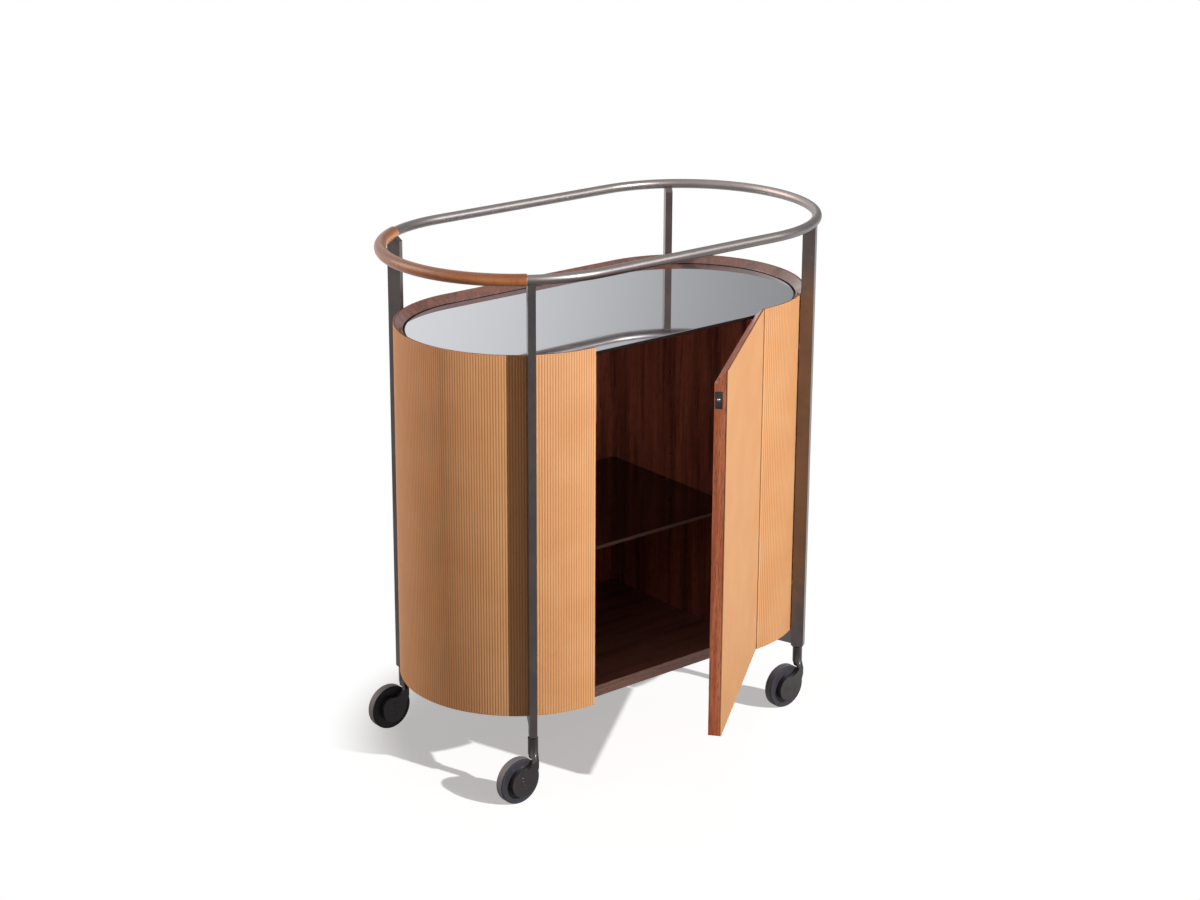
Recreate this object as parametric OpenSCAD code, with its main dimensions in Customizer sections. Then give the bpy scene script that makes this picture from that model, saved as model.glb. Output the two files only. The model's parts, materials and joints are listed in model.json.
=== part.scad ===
// Oval cabinet trolley: a leather-clad walnut cabinet with a glass top and one door,
// held by four flat uprights under a round metal rail, on four single-sided casters.
// Millimetres. Origin: on the ground under the middle of the oval plan. +Z up, the
// door is at the front (-Y) and the wrapped hand grip at the left end (-X).

/* [Plan] */
// Length of the straight part of the oval plan
straight_len = 356; // [330:1:400]
// Radius of the cabinet's round ends, over the leather
shell_r = 196; // [185:1:210]

/* [Cabinet walls] */
// Height of the cabinet's underside above the ground
cab_bottom = 133; // [126:1:150]
// Height of the rim above the ground
cab_top = 728; // [690:1:760]
// Thickness of the wooden core of the walls and the door
core_t = 18; // [16:0.5:20]
// Thickness of the ribbed leather on the walls and the door
leather_t = 3; // [2.5:0.1:4]
// Chamfer on the leather's upright edges beside the door
leather_edge = 1; // [0.6:0.1:1.4]
// Straight return of the left wall in front of its round end
left_return = 2; // [1.8:0.1:6]
// Straight return of the right wall in front of its round end
right_return = 4.2; // [3:0.1:8]

/* [Inside] */
// Thickness of the bottom panel
floor_t = 19; // [17:0.5:22]
// Clear width between the two partitions
bay_w = 314; // [290:1:318]
// Thickness of each partition
partition_t = 18; // [15:0.5:20]
// Thickness of the back panel between the partitions
back_t = 9; // [6:0.5:12]
// Gap between the closed door and what stands behind it
door_back_gap = 0.5; // [0.3:0.1:1]
// Diameter of the dowels under the partitions
dowel_d = 8; // [6:0.5:8]
// Length of a dowel in the bottom panel
dowel_down = 12; // [8:1:14]
// Length of a dowel in the partition
dowel_up = 18; // [12:1:24]
// Distance between neighbouring dowels
dowel_pitch = 120; // [80:1:140]

/* [Glass top] */
// Thickness of the glass top
glass_t = 6; // [5:0.5:8]
// Depth of the rebate in the walls and the door that the glass lies in
glass_rebate = 6; // [4:0.5:8]
// Gap between the glass and the walls of the rebate
glass_gap = 3; // [2:0.1:4]
// How far the glass lies below the rim's low inner edge
glass_drop = 1; // [0:0.1:3]
// Thickness of the pads under the glass
pad_t = 1.5; // [1:0.1:2]
// Diameter of the pads
pad_d = 10; // [6:0.5:12]
// Distance from the walls to the middle of the pads by the front and the rear
pad_inset = 25; // [12:1:60]
// Width and height of the ledges that carry the glass at the round ends
ledge_w = 15; // [13:0.5:20]
// Gap between the ledges' ends and the partitions
ledge_gap = 3; // [1:0.5:20]

/* [Shelf] */
// Thickness of the glass shelf
shelf_t = 6; // [5:0.5:8]
// Gap between the shelf and each partition
shelf_side_gap = 1.5; // [1:0.1:3]
// Distance from the door's back to the shelf's front edge
shelf_front_gap = 15; // [8:1:30]
// Distance from the back panel to the shelf's back edge
shelf_back_gap = 3; // [2:1:20]
// Corner radius of the shelf
shelf_corner = 6; // [3:0.5:12]
// Diameter of the shelf-pin holes
pin_hole_d = 5; // [4.5:0.1:6]
// Depth of the shelf-pin holes
pin_hole_deep = 9; // [7:0.5:11]
// Distance between neighbouring holes
pin_pitch = 29; // [25:0.5:32]
// Number of holes in a column
pin_rows = 12; // [9:1:13]
// Distance from the partition's top to the top hole
pin_top_gap = 135.5; // [120:0.5:150]
// Hole, counted from the top, that holds the shelf
shelf_row = 8; // [4:1:9]
// Distance of the front column from the middle of the bay
pin_front_y = 130; // [90:1:140]
// Distance of the rear column behind the middle of the bay
pin_rear_y = 16; // [10:1:120]
// Rise of a pin's tongue above its hole
tongue_rise = 10; // [8:0.5:12]
// Reach of a pin's tongue under the shelf
tongue_reach = 12; // [9:0.5:14]
// Width of a pin's tongue
tongue_w = 10; // [8:0.5:12]
// Thickness of a pin's sheet metal
tongue_t = 2; // [1.5:0.1:2.5]

/* [Door] */
// How far the door stands open, in degrees
door_open = 38.5; // [0:0.5:66]
// Gap at the door's free edge when it is closed
door_free_gap = 1.7; // [1.6:0.1:2.4]

/* [Hinge] */
// Diameter of the hinge's knuckles
knuckle_d = 3.2; // [3:0.1:4]
// Diameter of the hinge pin
hinge_pin_d = 1.6; // [1.4:0.1:1.8]
// Running clearance of the pin in the door's knuckles, on the radius
hinge_run = 0.05; // [0.03:0.01:0.08]
// Gap between the knuckles and the panel edges
knuckle_side = 0.2; // [0.2:0.05:0.4]
// Thickness of a hinge leaf
leaf_t = 0.6; // [0.5:0.05:0.7]
// Width of a hinge leaf
leaf_w = 14; // [11:0.5:15]
// Distance from the cabinet's underside to the hinge
hinge_low_gap = 12; // [8:1:30]
// Distance from the rim's low inner edge to the hinge
hinge_high_gap = 16; // [12:1:36]
// Number of knuckles
knuckle_n = 15; // [9:2:21]
// Gap between neighbouring knuckles
knuckle_gap = 0.3; // [0.25:0.05:0.5]
// Number of screws in each leaf
hinge_screw_n = 7; // [4:1:9]
// Diameter of the hinge screws
hinge_screw_d = 2.4; // [2:0.1:3]
// Diameter of the hinge screws' heads
hinge_head_d = 4.4; // [4:0.1:5]
// Height of the hinge screws' heads
hinge_head_h = 0.8; // [0.6:0.05:0.9]
// Length of the hinge screws in the wood
hinge_screw_len = 12; // [9:0.5:15]

/* [Door catch] */
// Diameter of the catch's ball
ball_d = 7; // [6.5:0.1:7.4]
// How far the ball stands out of the door's edge
ball_out = 1.4; // [1:0.1:1.4]
// How far the ball can be pressed in
ball_travel = 2.5; // [1.5:0.1:3]
// Clearance round the ball
ball_run = 0.1; // [0.08:0.01:0.15]
// Outer diameter of the catch's barrel
barrel_d = 9; // [8.6:0.1:10]
// Length of the barrel
barrel_len = 18; // [16:0.5:22]
// Width of the catch's face plate
plate_w = 11; // [10:0.5:12]
// Height of the catch's face plate
plate_h = 27; // [24:0.5:34]
// Thickness of the face plates
plate_t = 1.2; // [1:0.1:1.5]
// Distance of the catch from the door's outer face
catch_deep = 14; // [12:0.5:14.5]
// Distance from the rim down to the middle of the catch
catch_down = 47.5; // [42:0.5:70]
// Outer diameter of the catch's spring
spring_d = 6; // [5:0.1:6.4]
// Wire thickness of the spring
spring_wire = 0.8; // [0.6:0.1:1]
// Diameter of the dimple in the strike plate
dimple_d = 5.6; // [5:0.1:6.4]

/* [Rail and grip] */
// Height of the rail's centre line above the ground
rail_z = 850; // [820:1:880]
// Distance of the rail's centre line outside the leather
rail_offset = 17; // [15:0.5:20]
// Diameter of the rail
rail_d = 16; // [14:0.5:20]
// Thickness of the leather round the rail
grip_t = 1.8; // [1.2:0.1:2.5]
// Gap between the grip's front end and the front post
grip_gap = 0.3; // [0.2:0.1:2]
// How far the grip's rear end runs past the rear post
grip_past = 0.5; // [0.2:0.1:2]
// Gap round the rear post where the grip's leather is cut out
grip_clear = 0.1; // [0.1:0.1:0.5]

/* [Posts] */
// Angle of the posts round the ends, measured from the long axis
post_angle = 58.5; // [52:0.5:62]
// Thickness of a post's flat bar
post_t = 12; // [11:0.5:14]
// Width of a post's flat bar
post_w = 21.5; // [20:0.5:24]
// Stand-off between a post and the leather
post_gap = 2; // [1:0.1:4]
// Height of a post's foot above the ground
foot_z = 102.5; // [98:0.5:108]
// Chamfer on the corners of the foot
foot_chamfer = 3; // [2:0.5:4]
// Chamfer on a post's inner top corner
post_top_cut = 7; // [4:0.5:8]
// How high a post's top reaches beside the rail
post_saddle = 3; // [2:0.5:5]
// Diameter of the screws that hold the posts
post_screw_d = 5; // [4:0.5:6]
// Length of these screws in the post
post_screw_grip = 9; // [6:0.5:12]
// Diameter of these screws' heads
post_head_d = 9; // [8:0.5:11]
// Height of these screws' heads
post_head_h = 3; // [2:0.5:4]
// Clearance of the screws in the walls, on the radius
screw_clear = 0.2; // [0.1:0.05:0.4]
// Distance from the cabinet's underside to the low screws
low_screw_up = 87; // [60:1:150]
// Distance from the rim to the high screws
high_screw_down = 88; // [75:1:160]
// Diameter of the stand-off washers
washer_d = 12; // [10:0.5:14]

/* [Brackets] */
// Thickness of a bracket's web
bracket_t = 8; // [6:0.5:10]
// Reach of a bracket inwards from its post
bracket_len = 100; // [80:1:120]
// Height of a bracket's web at its inner end
bracket_end_h = 14; // [8:0.5:20]
// Distance from the post's foot up to the web
bracket_foot_gap = 1.5; // [1:0.5:6]
// Width of a bracket's flange
flange_w = 30; // [26:1:36]
// Thickness of a bracket's flange
flange_t = 4; // [3:0.5:5]
// Length of a bracket's flange
flange_len = 72; // [60:1:76]
// Diameter of the screws in the flange
flange_screw_d = 4; // [3.5:0.1:5]
// Length of these screws in the bottom panel
flange_screw_grip = 14; // [8:0.5:16]
// Diameter of these screws' heads
flange_head_d = 8; // [7:0.5:8]
// Height of these screws' heads
flange_head_h = 2.5; // [2:0.5:3]
// Distance from these screws to the flange's long edges
flange_screw_inset = 5; // [4.5:0.5:8]
// Distance from the inner screw to the bracket's inner end
flange_screw_in = 18; // [8:1:30]
// Distance from the outer screw to the flange's outer end
flange_screw_out = 14; // [8:1:30]

/* [Casters] */
// Diameter of a wheel over its tyre
wheel_d = 75; // [70:1:78]
// Width of a tyre
wheel_w = 15; // [13:0.5:17]
// Thickness of a tyre
tyre_t = 4; // [3:0.5:6]
// Rounding of a tyre's shoulders
tyre_round = 2; // [1.5:0.1:2.5]
// Distance of the wheel's axle behind the swivel axis
trail = 30.5; // [28:0.5:33]
// Diameter of the housing's stem
stem_d = 16.5; // [15:0.5:18]
// Gap between the stem and the post's foot
swivel_gap = 0.3; // [0.25:0.05:0.5]
// Height of the stem's lower end above the tyre
stem_above = 1; // [0.5:0.5:3]
// Gap between the tyre and the housing
tyre_gap = 1.5; // [1:0.1:2.5]
// Thickness of the housing's hub cover
cover_t = 8; // [7:0.5:9]
// Diameter of the hub cover
cover_d = 45; // [40:0.5:50]
// Width of the neck between the hub cover and the stem
neck_w = 12; // [10:0.5:14]
// Height above the axle at which the neck's edge leaves the hub cover
neck_low = 18.5; // [16:0.5:20]
// Height above the axle at which the neck reaches its full width
neck_high = 30.5; // [27:0.5:34]
// Distance of the neck's straight edge behind the swivel axis
neck_edge = 1; // [0:0.5:2]
// Radius of the hollow between the neck and the hub cover
hollow_r = 21.5; // [19:0.5:24]
// Height of the hollow's centre above the axle
hollow_up = 42; // [39:0.5:46]
// Distance of the hollow's centre from the axle, towards the stem
hollow_ahead = 2; // [0:0.5:4]
// Diameter of the swivel pin
swivel_d = 8; // [7:0.5:8]
// Length of the swivel pin inside the stem
swivel_down = 20; // [14:0.5:22]
// Length of the swivel pin inside the post
swivel_up = 29; // [20:0.5:32]
// Diameter of the axle
axle_d = 8; // [6:0.5:10]
// Depth of the axle in the hub cover
axle_deep = 6; // [4:0.5:6.5]
// Diameter of the axle's head
axle_head_d = 13; // [11:0.5:16]
// Height of the axle's head
axle_head_h = 1.5; // [1:0.1:2]
// Diameter of the wheel's bosses
boss_d = 14; // [12:0.5:18]
// Side play of the wheel
wheel_play = 0.3; // [0.25:0.05:0.5]
// Running clearance of pin and axle, on the radius
run_clear = 0.05; // [0.03:0.01:0.08]

/* [Hidden] */

// Sides: X is -1 left, +1 right; Y is -1 front, +1 rear.
FRONT_LEFT = [-1, -1];
FRONT_RIGHT = [1, -1];
REAR_LEFT = [-1, 1];
REAR_RIGHT = [1, 1];
CORNERS = [FRONT_LEFT, FRONT_RIGHT, REAR_LEFT, REAR_RIGHT];

half = straight_len / 2;
core_r = shell_r - leather_t;
inner_r = core_r - core_t;
rebate_r = inner_r + glass_rebate;
bevel_low = cab_top - (core_r - rebate_r);
round_fn = 180;
fine_fn = 48;
eps = 0.01;

// Door opening and hinge axis
hinge_half_gap = knuckle_d / 2 + knuckle_side;
opening_left = left_return - half;
opening_right = half - right_return;
hinge_x = opening_right - hinge_half_gap;
hinge_y = -(shell_r - knuckle_d / 2);
door_left = opening_left + door_free_gap;
door_right = hinge_x - hinge_half_gap;
hinge_z0 = cab_bottom + hinge_low_gap;
hinge_z1 = bevel_low - hinge_high_gap;
knuckle_pitch = (hinge_z1 - hinge_z0) / knuckle_n;
leaf_start = knuckle_d / 2 + knuckle_gap;
leaf_mid_y = hinge_y + (leaf_start + leaf_w) / 2;
hinge_screw_pitch = (hinge_z1 - hinge_z0) / hinge_screw_n;
catch_y = catch_deep - shell_r;
catch_z = cab_top - catch_down;
ball_x = door_left - ball_out + ball_d / 2;
barrel_end = door_left + plate_t + barrel_len;
barrel_wall = (barrel_d - ball_d) / 2 - ball_run;
spring_start = ball_x + ball_d / 2 + ball_travel + ball_run;

// Inside
floor_z = cab_bottom + floor_t;
bay_x = bay_w / 2;
front_y = door_back_gap - inner_r;
back_y = inner_r - back_t;
partition_x = bay_x + partition_t / 2;
glass_z1 = bevel_low - glass_drop;
glass_z0 = glass_z1 - glass_t;
partition_z1 = glass_z0 - pad_t;
pin_z1 = partition_z1 - pin_top_gap;
shelf_pin_z = pin_z1 - (shelf_row - 1) * pin_pitch;
shelf_z0 = shelf_pin_z + tongue_rise;
pin_columns = [-pin_front_y, pin_rear_y];
pad_rows = [pad_inset - inner_r, 0, inner_r - pad_inset];
dowel_rows = [-dowel_pitch, 0, dowel_pitch];

// Rail, posts and brackets
rail_r = shell_r + rail_offset;
grip_r = rail_d / 2 + grip_t;
post_r0 = shell_r + post_gap;
post_r1 = post_r0 + post_w;
post_rc = (post_r0 + post_r1) / 2;
post_top = rail_z - rail_d / 2 + post_saddle;
grip_front = post_angle - asin((post_t / 2 + grip_gap) / rail_r);
grip_rear = post_angle + asin((post_t / 2 + grip_past) / rail_r);
screw_heights = [cab_bottom + low_screw_up, cab_top - high_screw_down];
head_seat = inner_r - 0.1;
bracket_r0 = post_r0 - bracket_len;
flange_z0 = cab_bottom - flange_t;
flange_screw_y = flange_w / 2 - flange_screw_inset;
flange_screw_r = [bracket_r0 + flange_screw_in, bracket_r0 + flange_len - flange_screw_out];

// Casters
wheel_r = wheel_d / 2;
stem_z1 = foot_z - swivel_gap;
stem_z0 = wheel_d + stem_above;
cover_y0 = wheel_w / 2 + tyre_gap;
cover_y1 = cover_y0 + cover_t;
clear_r = wheel_r + tyre_gap;
neck_z0 = wheel_r + neck_low;
neck_z1 = wheel_r + neck_high;
rim_r = wheel_r - tyre_t;

WOOD = [0.36, 0.19, 0.12];
HIDE = [0.83, 0.58, 0.36];
BRONZE = [0.42, 0.38, 0.36];
BLACK = [0.13, 0.12, 0.13];
GLASS = [0.45, 0.45, 0.48];
STEEL = [0.72, 0.72, 0.72];

// ---- shared shapes ----

// Stadium outline, a straight middle with a half circle at each end.
module stadium(r) {
    square([straight_len, 2 * r], center = true);
    for (side = [-1, 1])
        translate([side * half, 0]) circle(r, $fn = round_fn);
}

// Carries a profile of radius and height round one end of the plan.
module round_end(side) {
    translate([side * half, 0, 0])
        rotate([0, 0, -90 * side])
            rotate_extrude(angle = 180, $fn = round_fn) children();
}

// Carries the same profile straight from x0 to x1, at the front or the rear.
module straight_run(x0, x1, side) {
    translate([x0, 0, 0])
        rotate([90, 0, 90])
            linear_extrude(x1 - x0)
                mirror([side < 0 ? 1 : 0, 0]) children();
}

// Section of the wooden core: cut inwards at 45 degrees above, then the glass's rebate.
module core_section() {
    polygon([
        [inner_r, cab_bottom], [core_r, cab_bottom], [core_r, cab_top],
        [rebate_r, bevel_low], [rebate_r, partition_z1], [inner_r, partition_z1]
    ]);
}

// Section of the leather, cut square above.
module leather_section() {
    polygon([
        [core_r, cab_bottom], [shell_r, cab_bottom], [shell_r, cab_top], [core_r, cab_top]
    ]);
}

// Cuts the chamfer of an upright leather edge at x in the front plane.
module edge_cut(x) {
    translate([x, -shell_r, cab_bottom - 1])
        rotate([0, 0, 45])
            linear_extrude(cab_top - cab_bottom + 2)
                square(leather_edge * sqrt(2), center = true);
}

// Puts children at a corner's post, with +X pointing out along its radius.
module at_post(corner) {
    translate([corner[0] * half, 0, 0])
        rotate([0, 0, corner[0] > 0 ? corner[1] * post_angle : 180 - corner[1] * post_angle])
            children();
}

// A cylinder along +X from x0 to x1.
module rod_x(x0, x1, d) {
    translate([x0, 0, 0]) rotate([0, 90, 0]) cylinder(h = x1 - x0, d = d, $fn = fine_fn);
}

// A cylinder along -Y from y0 down to y1.
module rod_y(y0, y1, d) {
    translate([0, y0, 0]) rotate([90, 0, 0]) cylinder(h = y0 - y1, d = d, $fn = fine_fn);
}

// Puts children at both screws of one post.
module at_post_screws(corner) {
    at_post(corner)
        for (z = screw_heights) translate([0, 0, z]) children();
}

// Clearance holes through the walls for the post screws of one side.
module wall_holes(side) {
    for (rear = [-1, 1])
        at_post_screws([side, rear])
            rod_x(inner_r - 5, shell_r + 5, post_screw_d + 2 * screw_clear);
}

// Turns children from the closed door to where the door stands.
module door_frame() {
    translate([hinge_x, hinge_y, 0])
        rotate([0, 0, door_open])
            translate([-hinge_x, -hinge_y, 0]) children();
}

// ---- rail and grip ----

module rail_section() {
    translate([rail_r, rail_z]) circle(d = rail_d, $fn = fine_fn);
}

module rail_hoop() {
    color(BRONZE) {
        for (side = [-1, 1]) {
            round_end(side) rail_section();
            straight_run(-half, half, side) rail_section();
        }
    }
}

module leather_grip() {
    color(HIDE) difference() {
        translate([-half, 0, 0])
            rotate([0, 0, 180 - grip_rear])
                rotate_extrude(angle = grip_rear + grip_front, $fn = round_fn)
                    translate([rail_r, rail_z]) difference() {
                        circle(grip_r, $fn = fine_fn);
                        circle(d = rail_d, $fn = fine_fn);
                    }
        at_post(REAR_LEFT) post_bar(grip_clear);
    }
}

// ---- posts and brackets ----

// The flat bar of a post, grown by a margin on its faces.
module post_bar(grow) {
    translate([0, post_t / 2 + grow, 0])
        rotate([90, 0, 0])
            linear_extrude(post_t + 2 * grow)
                polygon([
                    [post_r0, foot_z + foot_chamfer], [post_r0 + foot_chamfer, foot_z],
                    [post_r1 - foot_chamfer, foot_z], [post_r1, foot_z + foot_chamfer],
                    [post_r1, post_top], [post_r0 + post_top_cut, post_top],
                    [post_r0, post_top - post_top_cut]
                ]);
}

module post(corner) {
    color(BRONZE) at_post(corner) difference() {
        post_bar(0);
        rotate([0, 0, -10])
            rotate_extrude(angle = 20, $fn = round_fn) rail_section();
        translate([post_rc, 0, foot_z - 1])
            cylinder(h = swivel_up + 2, d = swivel_d + 2 * run_clear, $fn = fine_fn);
        for (z = screw_heights)
            translate([0, 0, z]) rod_x(post_r0 - 1, post_r0 + post_screw_grip, post_screw_d);
    }
}

module bracket(corner) {
    color(BRONZE) at_post(corner) difference() {
        union() {
            translate([0, bracket_t / 2, 0])
                rotate([90, 0, 0])
                    linear_extrude(bracket_t)
                        polygon([
                            [bracket_r0, cab_bottom - bracket_end_h],
                            [post_r0, foot_z + foot_chamfer + bracket_foot_gap],
                            [post_r0, cab_bottom], [bracket_r0, cab_bottom]
                        ]);
            translate([bracket_r0, -flange_w / 2, flange_z0])
                cube([flange_len, flange_w, flange_t]);
        }
        flange_screw_places()
            translate([0, 0, flange_z0 - 1])
                cylinder(h = flange_t + 2, d = flange_screw_d + 2 * screw_clear, $fn = fine_fn);
    }
}

// Puts children at the two flange screws, one on each side of the web.
module flange_screw_places() {
    for (i = [0, 1])
        translate([flange_screw_r[i], (i * 2 - 1) * flange_screw_y, 0]) children();
}

module post_washers() {
    color(BRONZE) for (corner = CORNERS) at_post_screws(corner) difference() {
        rod_x(shell_r, post_r0, washer_d);
        rod_x(shell_r - 1, post_r0 + 1, post_screw_d + 2 * screw_clear);
    }
}

module post_screws() {
    color(STEEL) for (corner = CORNERS) at_post_screws(corner) {
        rod_x(head_seat - post_head_h, head_seat, post_head_d);
        rod_x(head_seat - eps, post_r0 + post_screw_grip, post_screw_d);
    }
}

module bracket_screws() {
    color(STEEL) for (corner = CORNERS) at_post(corner) flange_screw_places() {
        translate([0, 0, flange_z0 - flange_head_h])
            cylinder(h = flange_head_h, d = flange_head_d, $fn = fine_fn);
        translate([0, 0, flange_z0 - eps])
            cylinder(h = flange_t + flange_screw_grip, d = flange_screw_d, $fn = fine_fn);
    }
}

// ---- walls and their leather ----

module left_shell() {
    color(WOOD) difference() {
        union() {
            round_end(-1) core_section();
            straight_run(-half - eps, opening_left, -1) core_section();
        }
        wall_holes(-1);
        strike_pocket();
    }
}

module right_shell() {
    color(WOOD) difference() {
        union() {
            round_end(1) core_section();
            straight_run(opening_right, half + eps, -1) core_section();
        }
        wall_holes(1);
        at_hinge_screws() rod_x(opening_right - 1, opening_right + hinge_screw_len, hinge_screw_d);
    }
}

module rear_wall() {
    color(WOOD) straight_run(-half, half, 1) core_section();
}

module left_leather() {
    color(HIDE) difference() {
        union() {
            round_end(-1) leather_section();
            straight_run(-half - eps, opening_left, -1) leather_section();
        }
        wall_holes(-1);
        edge_cut(opening_left);
    }
}

module right_leather() {
    color(HIDE) difference() {
        union() {
            round_end(1) leather_section();
            straight_run(opening_right, half + eps, -1) leather_section();
        }
        wall_holes(1);
        edge_cut(opening_right);
    }
}

module rear_leather() {
    color(HIDE) straight_run(-half, half, 1) leather_section();
}

// ---- inside ----

module floor_panel() {
    color(WOOD) difference() {
        translate([0, 0, cab_bottom]) linear_extrude(floor_t) stadium(inner_r);
        door_space();
        at_dowels() translate([0, 0, floor_z - dowel_down])
            cylinder(h = dowel_down + 1, d = dowel_d, $fn = fine_fn);
        for (corner = CORNERS) at_post(corner) flange_screw_places()
            translate([0, 0, cab_bottom - 1])
                cylinder(h = flange_screw_grip + 1 - eps, d = flange_screw_d, $fn = fine_fn);
    }
}

module at_dowels() {
    for (side = [-1, 1], y = dowel_rows)
        translate([side * partition_x, y, 0]) children();
}

// What stays free behind the closed door, from one wall's edge to the other's.
module door_space() {
    translate([opening_left, -inner_r - 1, 0])
        cube([opening_right - opening_left, 1 + door_back_gap, cab_top]);
}

module partition_dowels() {
    color("burlywood") at_dowels() translate([0, 0, floor_z - dowel_down])
        cylinder(h = dowel_down + dowel_up, d = dowel_d, $fn = fine_fn);
}

module partition(side) {
    color(WOOD) difference() {
        translate([side > 0 ? bay_x : -bay_x - partition_t, front_y, floor_z])
            cube([partition_t, inner_r - front_y, partition_z1 - floor_z]);
        for (y = pin_columns, row = [0 : pin_rows - 1])
            translate([side * bay_x, y, pin_z1 - row * pin_pitch])
                rotate([0, 0, side > 0 ? 0 : 180])
                    rod_x(-1, pin_hole_deep, pin_hole_d);
        at_dowels() translate([0, 0, floor_z - 1])
            cylinder(h = dowel_up + 1, d = dowel_d, $fn = fine_fn);
    }
}

module back_panel() {
    color(WOOD) translate([-bay_x, back_y, floor_z]) cube([bay_w, back_t, partition_z1 - floor_z]);
}

module glass_ledges() {
    inner_half = bay_x + partition_t + ledge_gap;
    color(WOOD) difference() {
        translate([0, 0, partition_z1 - ledge_w]) linear_extrude(ledge_w) difference() {
            stadium(inner_r);
            stadium(inner_r - ledge_w);
            square([2 * inner_half, 2 * shell_r], center = true);
        }
        door_space();
    }
}

module glass_pads() {
    color(BLACK) translate([0, 0, partition_z1]) for (side = [-1, 1]) {
        for (y = pad_rows)
            translate([side * partition_x, y, 0]) cylinder(h = pad_t, d = pad_d, $fn = fine_fn);
        for (a = [-60, 0, 60])
            translate([side * half, 0, 0])
                rotate([0, 0, a + (side > 0 ? 0 : 180)])
                    translate([inner_r - ledge_w / 2, 0, 0])
                        cylinder(h = pad_t, d = pad_d, $fn = fine_fn);
    }
}

module glass_top() {
    color(GLASS) translate([0, 0, glass_z0])
        linear_extrude(glass_t) stadium(rebate_r - glass_gap);
}

module glass_shelf() {
    w = bay_w - 2 * shelf_side_gap;
    y0 = shelf_front_gap - inner_r;
    y1 = back_y - shelf_back_gap;
    c = shelf_corner;
    color(GLASS) translate([-w / 2, y0, shelf_z0]) linear_extrude(shelf_t) {
        translate([c, 0]) square([w - 2 * c, y1 - y0]);
        translate([0, c]) square([w, y1 - y0 - 2 * c]);
        for (x = [c, w - c], y = [c, y1 - y0 - c])
            translate([x, y]) circle(c, $fn = fine_fn);
    }
}

// A bent tongue on a round peg; +X points into the partition.
module shelf_pin() {
    rod_x(-eps, pin_hole_deep, pin_hole_d);
    translate([-tongue_t, -tongue_w / 2, -tongue_w / 2])
        cube([tongue_t, tongue_w, tongue_w / 2 + tongue_rise]);
    translate([-tongue_reach, -tongue_w / 2, tongue_rise - tongue_t])
        cube([tongue_reach, tongue_w, tongue_t]);
}

module shelf_pins() {
    color(STEEL) for (side = [-1, 1], y = pin_columns)
        translate([side * bay_x, y, shelf_pin_z])
            rotate([0, 0, side > 0 ? 0 : 180]) shelf_pin();
}

// ---- hinge ----

// One knuckle's lower end for every second knuckle, starting with the given one.
function knuckles(first) = [for (i = [first : 2 : knuckle_n - 1]) hinge_z0 + i * knuckle_pitch];

// A leaf against the panel edge on the given side of the hinge axis.
module leaf(side, first, bore) {
    x = hinge_half_gap - leaf_t;
    tab = knuckle_pitch - knuckle_gap;
    translate([hinge_x, hinge_y, 0]) mirror([side < 0 ? 1 : 0, 0, 0]) difference() {
        union() {
            translate([x, leaf_start, hinge_z0])
                cube([leaf_t, leaf_w - leaf_start, hinge_z1 - hinge_z0]);
            for (z = knuckles(first)) translate([0, 0, z]) {
                cylinder(h = tab, d = knuckle_d, $fn = fine_fn);
                translate([x, 0, 0]) cube([leaf_t, leaf_start + eps, tab]);
            }
        }
        translate([0, 0, hinge_z0 - 1])
            cylinder(h = hinge_z1 - hinge_z0 + 2, d = bore, $fn = fine_fn);
        for (i = [0 : hinge_screw_n - 1])
            translate([0, leaf_mid_y - hinge_y, hinge_screw_z(i)])
                rod_x(x - 1, x + leaf_t + 1, hinge_screw_d);
    }
}

function hinge_screw_z(i) = hinge_z0 + (i + 0.5) * hinge_screw_pitch;

module at_hinge_screws() {
    for (i = [0 : hinge_screw_n - 1])
        translate([0, leaf_mid_y, hinge_screw_z(i)]) children();
}

// A screw whose head lies on the leaf; +X points into the wood.
module hinge_screw() {
    rod_x(-leaf_t - hinge_head_h, -leaf_t, hinge_head_d);
    rod_x(-leaf_t - eps, hinge_screw_len, hinge_screw_d);
}

module hinge_leaf_cabinet() {
    color(BRONZE) leaf(1, 0, hinge_pin_d);
}

module hinge_leaf_door() {
    color(BRONZE) door_frame() leaf(-1, 1, hinge_pin_d + 2 * hinge_run);
}

module hinge_pin() {
    color(STEEL) translate([hinge_x, hinge_y, hinge_z0])
        cylinder(h = hinge_z1 - hinge_z0, d = hinge_pin_d, $fn = fine_fn);
}

module hinge_screws_cabinet() {
    color(STEEL) at_hinge_screws() translate([opening_right, 0, 0]) hinge_screw();
}

module hinge_screws_door() {
    color(STEEL) door_frame() at_hinge_screws()
        translate([door_right, 0, 0]) mirror([1, 0, 0]) hinge_screw();
}

// ---- door and catch ----

module at_catch() {
    translate([0, catch_y, catch_z]) children();
}

module door_panel() {
    color(WOOD) door_frame() difference() {
        straight_run(door_left, door_right, -1) core_section();
        at_hinge_screws() rod_x(door_right - hinge_screw_len, door_right + 1, hinge_screw_d);
        at_catch() {
            translate([door_left - 1, -plate_w / 2, -plate_h / 2])
                cube([plate_t + 1, plate_w, plate_h]);
            rod_x(door_left, barrel_end, barrel_d);
        }
    }
}

module door_leather() {
    color(HIDE) door_frame() difference() {
        straight_run(door_left, door_right, -1) leather_section();
        edge_cut(door_left);
        edge_cut(door_right);
    }
}

// Radius of the ball where it crosses the upright plane at x.
function ball_section(x) = sqrt(pow(ball_d / 2, 2) - pow(ball_x - x, 2));

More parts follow.
